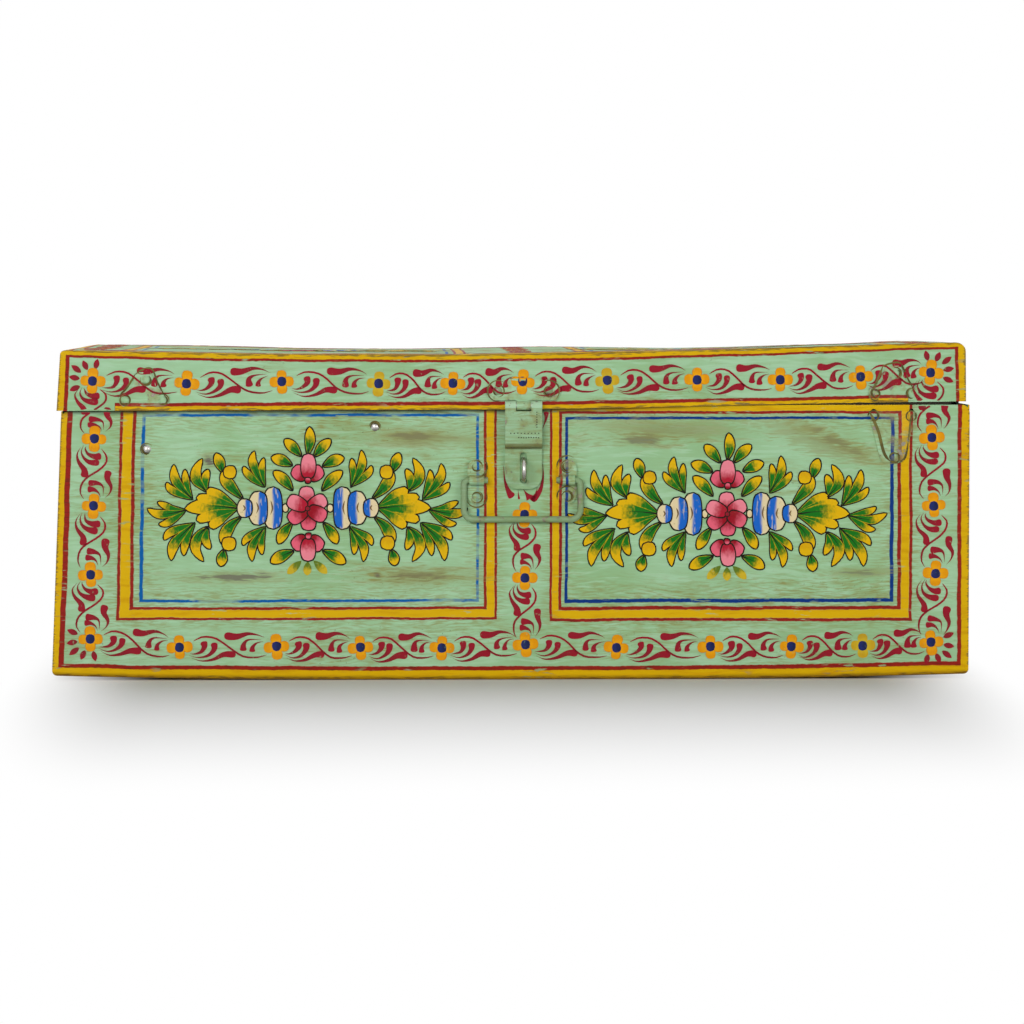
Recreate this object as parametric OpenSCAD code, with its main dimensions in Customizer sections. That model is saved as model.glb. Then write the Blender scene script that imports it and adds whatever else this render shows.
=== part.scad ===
// Small painted tin trunk: a shallow box of folded tin sheet with a hinged lid, a hasp that
// drops over a wire staple, and a wire handle that swings on the front.
// X runs along the front, the front faces -Y, Z points up. The origin is the middle of the base.

/* [Body] */
// Width of the body along its base
body_w = 463.5; // [400:0.5:520]
// Depth of the body, from its front face to its back face
body_d = 254; // [200:1:320]
// Height of the body's rim, where the lid meets it
seam_z = 136; // [128:1:180]
// Thickness of the tin sheet
sheet = 0.8; // [0.5:0.1:1.2]
// How far the left end leans in between its base and its rim
left_lean = 4.5; // [0:0.5:6]
// How far the right end leans in between its base and its rim
right_lean = 0.8; // [0:0.2:6]
// Outside radius of the bends between the floor and the ends
floor_bend_r = 2.5; // [2:0.5:8]
// Radius of the snipped upper corners of the front and back sheets
rim_corner_r = 4; // [1:0.5:6]

/* [Lid] */
// How much narrower the lid is than the body's base
lid_narrower = 6; // [4.5:0.5:7]
// How far the lid's front stands forward of the body's front
lid_proud = 0.8; // [0:0.1:1.5]
// Height of the lid at its left end
lid_left_h = 30; // [24:0.5:40]
// Height of the lid at its right end
lid_right_h = 34; // [24:0.5:40]
// How far the lid's top has sunk between its ends
lid_sag = 5; // [0:0.5:8]
// Outside radius of the bend between the lid's top and its left end
lid_left_bend_r = 2; // [1.5:0.5:8]
// Outside radius of the bend between the lid's top and its right end
lid_right_bend_r = 5; // [1.5:0.5:8]
// Open seam between the closed lid and the body
seam_gap = 0.3; // [0.2:0.1:0.8]

/* [Inner lip] */
// Height of the lip strips above the rim
lip_above = 6; // [4:0.5:10]
// Height of the straight part that is soldered to the wall
lip_below = 7; // [5:0.5:12]
// How far the standing part of the lip is set in from the wall
lip_set_in = 3; // [2.8:0.1:5]
// Height of the step between the soldered part and the standing part
lip_step_h = 3.5; // [3:0.5:5]
// Free length left at each end of the front lip
front_lip_end_gap = 9; // [8:1:30]
// Free length left at each end of the side lips
side_lip_end_gap = 7; // [5.5:0.5:30]

/* [Rivets] */
// Radius of a rivet's shank
rivet_r = 1.2; // [0.8:0.1:1.4]
// Radius of a rivet's domed head
rivet_head_r = 2.1; // [1.8:0.1:2.6]
// Height of a rivet's domed head
rivet_head_h = 0.9; // [0.5:0.1:1.2]
// Radius of the hammered tail inside the box
rivet_tail_r = 1.7; // [1.5:0.1:2.2]
// Height of the hammered tail inside the box
rivet_tail_h = 0.6; // [0.3:0.1:0.8]

/* [Rear hinges] */
// Distance from each end of the body to the middle of the hinge next to it
hinge_inset = 81.75; // [66:0.25:140]
// Width of a hinge leaf
hinge_w = 50; // [36:1:70]
// Height of a hinge leaf, from the pin's axis
hinge_leaf_h = 21; // [16:0.5:23]
// Thickness of the hinge leaves
hinge_t = 1; // [0.8:0.1:1.4]
// Radius of the hinge pins
hinge_pin_r = 1.2; // [1:0.1:1.8]
// Radius of the round heads on the hinge pins
hinge_pin_head_r = 1.9; // [1.9:0.1:2.1]
// Radius of the corners of a hinge leaf
hinge_corner_r = 3; // [1:0.5:5]

/* [Hasp] */
// Place of the hasp and its staple along the front
hasp_x = 6; // [-20:1:20]
// Width of the hasp's strap
strap_w = 18.6; // [14:0.2:22]
// Height of the hasp's pin above the rim
hasp_rise = 2.3; // [2:0.1:4]
// Thickness of the hasp's sheet
hasp_t = 1; // [0.8:0.1:1.2]
// Radius of the hasp's pin
hasp_pin_r = 1.3; // [1:0.1:1.5]
// Width of the middle knuckle, which belongs to the plate on the lid
plate_knuckle_w = 7; // [5:0.5:9]
// Length of the tongue below the pin's axis
tongue_l = 42; // [38:0.1:50]
// Length of the folded front layer below the pin's axis
front_layer_l = 21.2; // [18:0.1:23]
// Radius of the tongue's lower corners
tongue_corner_r = 6.5; // [2:0.5:8]
// Width of the slot in the tongue
slot_w = 3.6; // [3.4:0.1:5]
// Radius of the round lobes at the sides of the hasp's plate
lobe_r = 5.8; // [5:0.1:6.4]
// Distance from the middle of the hasp to the middle of each lobe
lobe_x = 12.8; // [11:0.1:14]
// Height of the lobes' middles above the pin's axis
lobe_z = 7.4; // [6.8:0.1:9]
// Height of the top of the hasp's plate above the pin's axis
plate_top = 13.6; // [12:0.1:16]

/* [Staple] */
// Radius of the staple's wire
staple_wire_r = 1.1; // [0.8:0.05:1.3]
// Height of the staple's middle above the base
staple_z = 106; // [103:0.5:107]
// Half the height of the staple, measured at the middle of its wire
staple_half_h = 5.2; // [4.5:0.1:5.6]
// Length of the staple's straight legs in front of the body
staple_leg = 6.2; // [5:0.1:9]
// Length of each leg that is clenched flat inside
clench_l = 6; // [3:0.5:9]

/* [Handle] */
// Place of the handle's middle along the front
handle_x = 5.3; // [-20:0.1:20]
// Height of the handle's pivot above the base
handle_z = 100.8; // [90:0.1:112]
// Radius of the handle's wire
handle_wire_r = 1.6; // [1.2:0.1:2]
// Distance from the handle's middle to the middle of each side
handle_half_w = 29.4; // [28:0.1:36]
// Distance from the pivot down to the middle of the grip
handle_drop = 19.8; // [18:0.1:24]
// Bend radius at the lower corners, at the middle of the wire
handle_bend_r = 5; // [3:0.5:8]
// Bend radius at the turned-in ends, at the middle of the wire
handle_end_bend_r = 2.4; // [2.2:0.1:2.6]
// Distance from the handle's middle to the middle of each ear
ear_x = 22.9; // [21.5:0.1:23]
// Width of an ear
ear_w = 9.2; // [8:0.1:9.2]
// Height of an ear
ear_h = 22.6; // [21:0.1:28]
// How far the ear's middle lies below the pivot
ear_below = 0.8; // [0:0.1:2]
// Thickness of the ear's sheet
ear_t = 0.9; // [0.7:0.1:1.1]
// Width of the ear's knuckle
ear_knuckle_w = 7.4; // [5:0.1:7.6]
// How far the ear's folded upper layer starts above the pivot
ear_fold_start = 2; // [1.9:0.1:2.2]

/* [Old clasps] */
// Thickness of the old clasp plates
clasp_t = 0.7; // [0.5:0.1:1]
// Width of a clasp plate on the lid
clasp_w = 25; // [20:0.5:28]
// Height of a clasp plate on the lid
clasp_h = 17.5; // [15:0.5:18.5]
// Distance from the lid's left end to the middle of its clasp plate
clasp_left_inset = 44.05; // [30:0.05:60]
// Height of the left clasp plate's lower edge above the seam
clasp_left_rise = 1.7; // [0.5:0.1:5]
// Distance from the lid's right end to the middle of its clasp plate
clasp_right_inset = 35.85; // [28:0.05:60]
// Height of the right clasp plate's lower edge above the seam
clasp_right_rise = 4.6; // [0.5:0.1:6]
// Distance from the body's right end to the middle of its old clasp plate
shield_inset = 39.15; // [32:0.05:52]
// Width of the body's clasp plate at its top
shield_top_w = 24.4; // [20:0.1:28]
// Width of the body's clasp plate at its foot
shield_foot_w = 10.5; // [8:0.1:14]
// Height of the body's clasp plate
shield_h = 25.8; // [20:0.1:30]
// Distance from the rim down to the body's clasp plate
shield_drop = 0.8; // [0.4:0.1:3]
// Distance from the body's left end to the leftover rivet next to it
spare_left_inset = 48.15; // [32:0.05:80]
// Distance from the rim down to the left leftover rivet
spare_left_drop = 19.6; // [15:0.1:40]
// Place of the leftover rivet that holds the lip
spare_lip_x = -68.8; // [-120:0.1:-50]

/* [Hidden] */

$fn = 48;
// Radial clearance of a pin that turns in its knuckle
running_gap = 0.05;
// Radial clearance of a rivet or a staple's leg in its hole
hole_gap = 0.05;
// Clearance between a knuckle and the wall behind it, and beside its neighbours
knuckle_gap = 0.35;
// Reach of a cutter past what it cuts
past = 1;
// How deep the curled foot of the hasp's front layer is pressed into the tongue
curl_weld = 0.3;
// Number of straight pieces in the lid's sunken top
top_pieces = 16;
// Number of straight pieces in a rounded corner
arc_pieces = 6;
// Length of the cutter for a rivet's hole
hole_cut = 20;
// Gap that keeps a curved edge just short of a half circle
tiny = 0.01;
// Height from the top of the lip's step up to the rim
lip_rim_gap = 1.5;
// Clearance in the lip round the rivets of the old clasp plate
tail_gap = 0.5;
// Distance from a hinge's side and from its free edge to the rivets
hinge_rivet_side = 8;
hinge_rivet_edge = 6.5;
// Width of the round heads on the hinge pins
pin_head_w = 1;
// Distance from an ear's round end to its rivet, and from its back layer to the wire's hole
ear_rivet_edge = 3.6;
ear_bore_gap = 0.15;
// Distance from the side and the edge of the body's clasp plate to its rivets
shield_rivet_side = 2.6;
shield_rivet_edge = 2.4;
// How far the lowest rivet of that plate is off its middle
shield_rivet_shift = 0.8;
// How far that plate flares above its foot, and how high the flare starts
shield_flare = 1.8;
shield_flare_h = 5;
// Radius of that plate's upper corners and of its lower ones
shield_corner_r = 1.2;
shield_foot_r = 2;
// Distance from the lower edge and from the top of a lid's clasp plate to its rivets
clasp_rivet_edge = 3.2;
clasp_rivet_top = 4;
// How far the upper rivet of that plate is off its middle
clasp_rivet_shift = 1;
// Heights of the wide foot and of the waist of that plate
clasp_foot_h = 6;
clasp_waist_h = 9.5;
// Width of that plate's waist, and the two sides of its head from the middle
clasp_waist_w = 12.5;
clasp_head_left = 4.2;
clasp_head_right = 3.6;
// How much lower the head's left corner is than its right one
clasp_head_drop = 0.5;
// Radii of that plate's corners, of its waist and of the right corner of its head
clasp_corner_r = 2;
clasp_waist_r = 1.5;
clasp_head_r = 2.5;

// The lid's width, and the places of what is set in from the ends
lid_w = body_w - lid_narrower;
hinge_x = body_w / 2 - hinge_inset;
clasp_left_x = clasp_left_inset - lid_w / 2;
clasp_right_x = lid_w / 2 - clasp_right_inset;
shield_x = body_w / 2 - shield_inset;
spare_left_x = spare_left_inset - body_w / 2;

// The two ends of the body at its base and at its rim
base_left = -body_w / 2;
base_right = body_w / 2;
rim_left = base_left + left_lean;
rim_right = base_right - right_lean;
// The faces of the body's front and back sheets
front_y = -body_d / 2;
back_y = body_d / 2;
front_in_y = front_y + sheet;
back_in_y = back_y - sheet;
lid_front_y = front_y - lid_proud;
lid_bottom = seam_z + seam_gap;

hinge_knuckle_r = hinge_pin_r + running_gap + hinge_t;
hinge_axis_y = back_y + knuckle_gap + hinge_knuckle_r;
hinge_rivet_x = hinge_w / 2 - hinge_rivet_side;
hinge_rivet_z = hinge_leaf_h - hinge_rivet_edge;

hasp_knuckle_r = hasp_pin_r + running_gap + hasp_t;
hasp_axis_y = lid_front_y - knuckle_gap - hasp_knuckle_r;
hasp_axis_z = seam_z + hasp_rise;
hasp_clear_r = hasp_knuckle_r + knuckle_gap;

handle_bore_r = handle_wire_r + running_gap;
handle_knuckle_r = handle_bore_r + ear_t;
handle_axis_y = front_y - ear_t - ear_bore_gap - handle_bore_r;
ear_z = handle_z - ear_below;
ear_rivet_up = ear_h / 2 - ear_rivet_edge;

shield_top_z = seam_z - shield_drop;
shield_rivets = [for (side = [-1, 1])
                   [shield_x + side * (shield_top_w / 2 - shield_rivet_side), shield_top_z - shield_rivet_edge],
                 [shield_x + shield_rivet_shift, shield_top_z - shield_h + shield_rivet_side]];
spare_left = [spare_left_x, seam_z - spare_left_drop];
lip_foot_z = seam_z - lip_rim_gap - lip_step_h - lip_below;
spare_lip = [spare_lip_x, lip_foot_z + lip_below / 2];

// Points that round one corner of an outline
function corner_arc(before, corner, after, r) =
  let(
    u = (before - corner) / norm(before - corner),
    v = (after - corner) / norm(after - corner),
    half = acos(u * v) / 2,
    centre = corner + (u + v) / norm(u + v) * r / sin(half),
    first = corner + u * r / tan(half) - centre,
    last = corner + v * r / tan(half) - centre,
    start = atan2(first[1], first[0]),
    turn = atan2(first[0] * last[1] - first[1] * last[0], first * last)
  )
  [for (i = [0:arc_pieces]) centre + r * [cos(start + turn * i / arc_pieces), sin(start + turn * i / arc_pieces)]];

// An outline whose corners are rounded, each by its own radius
function rounded(points, radii) =
  let(n = len(points))
  [for (i = [0:n - 1])
    each (radii[i] > 0 ? corner_arc(points[(i + n - 1) % n], points[i], points[(i + 1) % n], radii[i])
                       : [points[i]])];

// Height of the lid's top at a place along the front
function lid_top(x) =
  seam_z + lid_left_h + (lid_right_h - lid_left_h) * (x / lid_w + 0.5)
  - lid_sag * (1 - pow(2 * x / lid_w, 2));

// The lid's outline from its lower left corner round to its lower right corner
function lid_points(inset) =
  let(half = lid_w / 2 - inset)
  concat([[-half, lid_bottom]],
         [for (i = [0:top_pieces])
           let(x = half * (2 * i / top_pieces - 1))
           [x, lid_top(x) - inset]],
         [[half, lid_bottom]]);
function lid_radii(inset) =
  [for (i = [0:top_pieces + 2])
     i == 1 ? lid_left_bend_r - inset : i == top_pieces + 1 ? lid_right_bend_r - inset : 0];
function backwards(list) = [for (i = [len(list) - 1:-1:0]) list[i]];

// Inner face of an end wall at a height, where side is -1 on the left and 1 on the right
function wall_x(side, z) =
  side < 0 ? base_left + sheet + left_lean * z / seam_z
           : base_right - sheet - right_lean * z / seam_z;

// A flat outline drawn in X and Z, stretched from y0 back to y1
module along_y(y0, y1) {
  translate([0, y1, 0])
    rotate([90, 0, 0])
      linear_extrude(y1 - y0)
        children();
}

// A flat outline drawn in Y and Z, stretched from x0 to x1
module along_x(x0, x1) {
  translate([x0, 0, 0])
    rotate([90, 0, 90])
      linear_extrude(x1 - x0)
        children();
}

// A round rod along X
module rod_x(x0, x1, r) {
  translate([x0, 0, 0])
    rotate([0, 90, 0])
      cylinder(r = r, h = x1 - x0);
}

// A rivet whose domed head looks to -Y and sits on the plane y = 0
module rivet(grip) {
  dome_r = (rivet_head_r * rivet_head_r + rivet_head_h * rivet_head_h) / (2 * rivet_head_h);
  intersection() {
    translate([0, dome_r - rivet_head_h, 0])
      sphere(r = dome_r);
    rotate([90, 0, 0])
      cylinder(r = rivet_head_r + past, h = rivet_head_h + past);
  }
  rotate([-90, 0, 0])
    cylinder(r = rivet_r, h = grip);
  translate([0, grip, 0])
    rotate([-90, 0, 0])
      cylinder(r1 = rivet_tail_r, r2 = rivet_r, h = rivet_tail_h);
}

// A hole along Y for a shank
module hole_y(place, y, r = rivet_r + hole_gap) {
  translate([place[0], y, place[1]])
    rotate([90, 0, 0])
      cylinder(r = r, h = hole_cut, center = true);
}

// Places of the rivets in the handle's ears, upper and lower, left and right
function ear_rivet(side, up) = [handle_x + side * ear_x, ear_z + up * ear_rivet_up];

// Places of the two staple legs
function staple_leg_place(up) = [hasp_x, staple_z + up * staple_half_h];

// Places of the rivets of a clasp plate on the lid
function clasp_rivet_places(x, rise) =
  [for (side = [-1, 1])
     [x + side * (clasp_w / 2 - clasp_rivet_edge), lid_bottom + rise + clasp_rivet_edge],
   [x + clasp_rivet_shift, lid_bottom + rise + clasp_h - clasp_rivet_top]];
clasp_lid_rivets = concat(clasp_rivet_places(clasp_left_x, clasp_left_rise),
                          clasp_rivet_places(clasp_right_x, clasp_right_rise));

// Places of the rivets of the rear hinges, where way is -1 on the body and 1 on the lid
function hinge_rivets(way) =
  [for (x = [-hinge_x, hinge_x], side = [-1, 0, 1])
    [x + side * hinge_rivet_x, seam_z + way * hinge_rivet_z]];

// Places of the two rivets of the hasp's plate
hasp_rivet_places = [for (side = [-1, 1]) [hasp_x + side * lobe_x, hasp_axis_z + lobe_z]];

// The body's outline, as its front and back sheets have it
module body_outline() {
  polygon(rounded([[rim_left, seam_z], [base_left, 0], [base_right, 0], [rim_right, seam_z]],
                  [rim_corner_r, floor_bend_r, floor_bend_r, rim_corner_r]));
}

// One sheet, bent up at both ends, is the floor and the ends
module body_wrap() {
  bend = floor_bend_r;
  inner = floor_bend_r - sheet;
  color("darkseagreen")
    along_y(front_in_y, back_in_y)
      polygon(rounded(
        [[rim_left, seam_z], [base_left, 0], [base_right, 0], [rim_right, seam_z],
         [rim_right - sheet, seam_z], [base_right - sheet, sheet],
         [base_left + sheet, sheet], [rim_left + sheet, seam_z]],
        [0, bend, bend, 0, 0, inner, inner, 0]));
}

module body_front() {
  color("darkseagreen")
    difference() {
      along_y(front_y, front_in_y)
        body_outline();
      for (side = [-1, 1], up = [-1, 1])
        hole_y(ear_rivet(side, up), front_y);
      for (up = [-1, 1])
        hole_y(staple_leg_place(up), front_y, staple_wire_r + hole_gap);
      for (place = concat(shield_rivets, [spare_left, spare_lip]))
        hole_y(place, front_y);
    }
}

module body_back() {
  color("darkseagreen")
    difference() {
      along_y(back_in_y, back_y)
        body_outline();
      for (place = hinge_rivets(-1))
        hole_y(place, back_y);
    }
}

// Section of a lip strip: its wall side is at u = 0 and it is set in towards +u
function lip_section() =
  let(
    z0 = lip_foot_z,
    z1 = z0 + lip_below,
    z2 = z1 + lip_step_h,
    z3 = seam_z + lip_above,
    slant = sheet * 0.5
  )
  [[0, z0], [0, z1], [lip_set_in, z2], [lip_set_in, z3],
   [lip_set_in + sheet, z3], [lip_set_in + sheet, z2 - slant], [sheet, z1 - slant], [sheet, z0]];

module front_lip() {
  color("tan")
    difference() {
      along_x(rim_left + front_lip_end_gap, rim_right - front_lip_end_gap)
        polygon([for (p = lip_section()) [front_in_y + p[0], p[1]]]);
      hole_y(spare_lip, front_in_y);
      for (i = [0, 1])
        hole_y(shield_rivets[i], front_in_y, rivet_tail_r + tail_gap);
    }
}

// A lip strip along an end wall, where side is -1 on the left and 1 on the right
module end_lip(side) {
  color("tan")
    along_y(front_in_y + side_lip_end_gap, back_in_y - side_lip_end_gap)
      polygon([for (p = lip_section()) [wall_x(side, min(p[1], seam_z)) - side * p[0], p[1]]]);
}

// The staple: a wire loop that stands out of the front, with its ends clenched inside
module staple() {
  loop_y = front_y - staple_leg;
  inside_y = front_in_y + staple_wire_r;
  color("silver") {
    translate([hasp_x, loop_y, staple_z])
      rotate([90, 0, -90])
        rotate([0, 0, -90])
          rotate_extrude(angle = 180)
            translate([staple_half_h, 0])
              circle(r = staple_wire_r);
    for (up = [-1, 1])
      translate([hasp_x, 0, staple_z + up * staple_half_h]) {
        translate([0, loop_y, 0])
          rotate([-90, 0, 0])
            cylinder(r = staple_wire_r, h = inside_y - loop_y);
        translate([0, inside_y, 0])
          sphere(r = staple_wire_r);
        translate([0, inside_y, up > 0 ? 0 : -clench_l])
          cylinder(r = staple_wire_r, h = clench_l);
      }
  }
}

// An ear of the handle: a strip folded round the wire, two layers above it and one below
module handle_ear(side) {
  x = handle_x + side * ear_x;
  color("darkseagreen")
    difference() {
      union() {
        along_y(front_y - ear_t, front_y)
          ear_outline(x);
        intersection() {
          along_y(front_y - 2 * ear_t, front_y - ear_t)
            ear_outline(x);
          translate([x, front_y, handle_z + ear_fold_start + ear_h / 2])
            cube([ear_w + past, 4 * ear_t, ear_h], center = true);
        }
        translate([0, handle_axis_y, handle_z])
          rod_x(x - ear_knuckle_w / 2, x + ear_knuckle_w / 2, handle_knuckle_r);
        translate([x - ear_knuckle_w / 2, front_y - 2 * ear_t, handle_z])
          cube([ear_knuckle_w, ear_t, ear_fold_start + past]);
      }
      translate([0, handle_axis_y, handle_z])
        rod_x(x - ear_w, x + ear_w, handle_bore_r);
      for (up = [-1, 1])
        hole_y(ear_rivet(side, up), front_y);
    }
}

module ear_outline(x) {
  r = ear_w / 2 - tiny;
  polygon(rounded([[x - ear_w / 2, ear_z - ear_h / 2], [x - ear_w / 2, ear_z + ear_h / 2],
                   [x + ear_w / 2, ear_z + ear_h / 2], [x + ear_w / 2, ear_z - ear_h / 2]],
                  [r, r, r, r]));
}

module handle_rivets() {
  color("silver")
    for (side = [-1, 1], up = [-1, 1]) {
      layers = up > 0 ? 2 : 1;
      place = ear_rivet(side, up);
      translate([place[0], front_y - layers * ear_t, place[1]])
        rivet(layers * ear_t + sheet);
    }
}

// The handle: one wire, bent to a U, with its ends turned in through the ears
module handle() {
  grip_z = handle_z - handle_drop;
  end_x = ear_x - ear_w / 2 - 1;
  color("darkseagreen")
    translate([handle_x, handle_axis_y, 0]) {
      translate([0, 0, grip_z])
        rod_x(-handle_half_w + handle_bend_r, handle_half_w - handle_bend_r, handle_wire_r);
      for (side = [-1, 1])
        mirror([side < 0 ? 1 : 0, 0, 0]) {
          translate([handle_half_w, 0, grip_z + handle_bend_r])
            cylinder(r = handle_wire_r, h = handle_drop - handle_bend_r - handle_end_bend_r);
          translate([handle_half_w - handle_bend_r, 0, grip_z + handle_bend_r])
            wire_bend(handle_bend_r, -90);
          translate([handle_half_w - handle_end_bend_r, 0, handle_z - handle_end_bend_r])
            wire_bend(handle_end_bend_r, 0);
          translate([0, 0, handle_z])
            rod_x(end_x, handle_half_w - handle_end_bend_r, handle_wire_r);
        }
    }
}

// A quarter bend of the handle's wire in the plane of X and Z
module wire_bend(r, start) {
  rotate([90, 0, 0])
    rotate([0, 0, start])
      rotate_extrude(angle = 90)
        translate([r, 0])
          circle(r = handle_wire_r);
}

// What is left of a clasp on the body: a plate that narrows towards its foot
module clasp_plate_body() {
  foot_z = shield_top_z - shield_h;
  color("darkseagreen")
    difference() {
      along_y(front_y - clasp_t, front_y)
        polygon(rounded([[shield_x - shield_top_w / 2, shield_top_z],
                         [shield_x + shield_top_w / 2, shield_top_z],
                         [shield_x + shield_foot_w / 2 + shield_flare, foot_z + shield_flare_h],
                         [shield_x + shield_foot_w / 2, foot_z],
                         [shield_x - shield_foot_w / 2, foot_z],
                         [shield_x - shield_foot_w / 2 - shield_flare, foot_z + shield_flare_h]],
                        [shield_corner_r, shield_corner_r,
                         shield_foot_r, shield_foot_r, shield_foot_r, shield_foot_r]));
      for (place = shield_rivets)
        hole_y(place, front_y);
    }
}

module clasp_rivets_body() {
  color("darkseagreen")
    for (place = shield_rivets)
      translate([place[0], front_y - clasp_t, place[1]])
        rivet(clasp_t + sheet);
}

module leftover_rivets() {
  color("darkseagreen") {
    translate([spare_left[0], front_y, spare_left[1]])
      rivet(sheet);
    translate([spare_lip[0], front_y, spare_lip[1]])
      rivet(2 * sheet);
  }
}

// Where a knuckle of a rear hinge starts and ends: the body has the outer two, the lid the middle one
function knuckles(way) =
  let(third = hinge_w / 3, gap = knuckle_gap / 2)
  way < 0 ? [[-hinge_w / 2, -third / 2 - gap], [third / 2 + gap, hinge_w / 2]]
          : [[-third / 2 + gap, third / 2 - gap]];

// A rear hinge leaf about the pin's axis, where way is -1 on the body and 1 on the lid
module hinge_leaf(x, way) {
  leaf_y = back_y - hinge_axis_y;
  foot = hinge_knuckle_r + knuckle_gap;
  color("darkseagreen")
    difference() {
      translate([x, hinge_axis_y, seam_z])
        mirror([0, 0, way < 0 ? 1 : 0])
          difference() {
            union() {
              along_y(leaf_y, leaf_y + hinge_t)
                polygon(rounded([[-hinge_w / 2, foot], [-hinge_w / 2, hinge_leaf_h],
                                 [hinge_w / 2, hinge_leaf_h], [hinge_w / 2, foot]],
                                [0, hinge_corner_r, hinge_corner_r, 0]));
              for (k = knuckles(way)) {
                rod_x(k[0], k[1], hinge_knuckle_r);
                translate([k[0], leaf_y, seam_gap])
                  cube([k[1] - k[0], hinge_t, foot - seam_gap]);
              }
            }
            rod_x(-hinge_w, hinge_w, hinge_pin_r + running_gap);
          }
      for (place = hinge_rivets(way))
        hole_y(place, back_y);
    }
}

module hinge_pin(x) {
  color("gray")
    translate([x, hinge_axis_y, seam_z]) {
      rod_x(-hinge_w / 2 - knuckle_gap, hinge_w / 2 + knuckle_gap, hinge_pin_r);
      for (side = [-1, 1])
        translate([side * (hinge_w / 2 + knuckle_gap / 2 + pin_head_w / 2), 0, 0])
          rod_x(-pin_head_w / 2, pin_head_w / 2, hinge_pin_head_r);
    }
}

// The rivets of the rear hinges, where way is -1 on the body and 1 on the lid
module hinge_rivet_set(way) {
  color("silver")
    for (place = hinge_rivets(way))
      translate([place[0], back_y + hinge_t, place[1]])
        mirror([0, 1, 0])
          rivet(hinge_t + sheet);
}

// One sheet, bent down at both ends, is the lid's top and its ends
module lid_wrap() {
  color("darkseagreen")
    along_y(lid_front_y + sheet, back_in_y)
      polygon(concat(rounded(lid_points(0), lid_radii(0)),
                     backwards(rounded(lid_points(sheet), lid_radii(sheet)))));
}

module lid_front() {
  color("darkseagreen")
    difference() {
      along_y(lid_front_y, lid_front_y + sheet)
        polygon(rounded(lid_points(0), lid_radii(0)));
      for (place = concat(clasp_lid_rivets, hasp_rivet_places))
        hole_y(place, lid_front_y);
    }
}

module lid_back() {
  color("darkseagreen")
    difference() {
      along_y(back_in_y, back_y)
        polygon(rounded(lid_points(0), lid_radii(0)));
      for (place = hinge_rivets(1))
        hole_y(place, back_y);
    }
}

// The hasp's plate on the lid: a square middle, two round lobes and the middle knuckle
module hasp_plate() {
  plate_y = lid_front_y - hasp_t;
  half_w = strap_w / 2;
  half_k = plate_knuckle_w / 2;
  color("darkseagreen")
    difference() {
      union() {
        along_y(plate_y, lid_front_y)
          translate([hasp_x, hasp_axis_z]) {
            translate([-half_w, hasp_clear_r])
              square([strap_w, plate_top - hasp_clear_r]);
            for (side = [-1, 1])
              translate([side * lobe_x, lobe_z])
                intersection() {
                  circle(r = lobe_r);
                  translate([-lobe_r, hasp_clear_r - lobe_z])
                    square([2 * lobe_r, 2 * lobe_r]);
                }
          }
        translate([hasp_x, hasp_axis_y, hasp_axis_z])
          rod_x(-half_k, half_k, hasp_knuckle_r);
        translate([hasp_x - half_k, plate_y, hasp_axis_z])
          cube([plate_knuckle_w, hasp_t, hasp_clear_r + past]);
      }
      translate([hasp_x, hasp_axis_y, hasp_axis_z])
        rod_x(-strap_w, strap_w, hasp_pin_r + running_gap);
      for (place = hasp_rivet_places)
        hole_y(place, lid_front_y);
    }
}

module hasp_pin() {
  color("gray")
    translate([hasp_x, hasp_axis_y, hasp_axis_z])
      rod_x(-strap_w / 2, strap_w / 2, hasp_pin_r);
}

module hasp_rivets() {
  color("darkseagreen")
    for (place = hasp_rivet_places)
      translate([place[0], lid_front_y - hasp_t, place[1]])
        rivet(hasp_t + sheet);
}

// Side view of the strap about the pin's axis: two layers hang from the knuckle, and the front
// layer curls back at its foot to meet the tongue
module strap_section() {
  r = hasp_knuckle_r;
  curl_r = r - hasp_t / 2 + curl_weld / 2;
  curl_z = curl_r - front_layer_l;
  difference() {
    union() {
      circle(r = r);
      translate([r - hasp_t, -tongue_l])
        square([hasp_t, tongue_l]);
      translate([-r, curl_z])
        square([hasp_t, -curl_z]);
      translate([curl_r - r, curl_z])
        difference() {
          circle(r = curl_r);
          circle(r = curl_r - hasp_t);
          translate([-2 * r, 0])
            square([4 * r, 2 * r]);
        }
    }
    circle(r = hasp_pin_r + running_gap);
  }
}

// The hasp's strap, cut out round the plate's knuckle and slotted for the staple
module hasp_strap() {
  half_w = strap_w / 2;
  half_k = plate_knuckle_w / 2 + knuckle_gap;
  top_z = staple_z + staple_half_h + slot_w / 2;
  foot_z = staple_z - staple_half_h;
  color("darkseagreen")
    difference() {
      intersection() {
        translate([hasp_x, hasp_axis_y, hasp_axis_z])
          along_x(-half_w, half_w)
            strap_section();
        along_y(hasp_axis_y - 2 * hasp_knuckle_r, lid_front_y)
          polygon(rounded([[hasp_x - half_w, hasp_axis_z - tongue_l],
                           [hasp_x - half_w, hasp_axis_z + 2 * hasp_knuckle_r],
                           [hasp_x + half_w, hasp_axis_z + 2 * hasp_knuckle_r],
                           [hasp_x + half_w, hasp_axis_z - tongue_l]],
                          [tongue_corner_r, 0, 0, tongue_corner_r]));
      }
      translate([hasp_x - half_k, hasp_axis_y - 2 * hasp_knuckle_r, hasp_axis_z - hasp_clear_r])
        cube([2 * half_k, 4 * hasp_knuckle_r, 2 * hasp_clear_r]);
      translate([hasp_x - slot_w / 2, hasp_axis_y, foot_z])
        cube([slot_w, 2 * hasp_knuckle_r, top_z - foot_z]);
      for (z = [foot_z, top_z])
        translate([hasp_x, hasp_axis_y, z])
          rotate([-90, 0, 0])
            cylinder(r = slot_w / 2, h = 2 * hasp_knuckle_r);
    }
}

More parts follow.
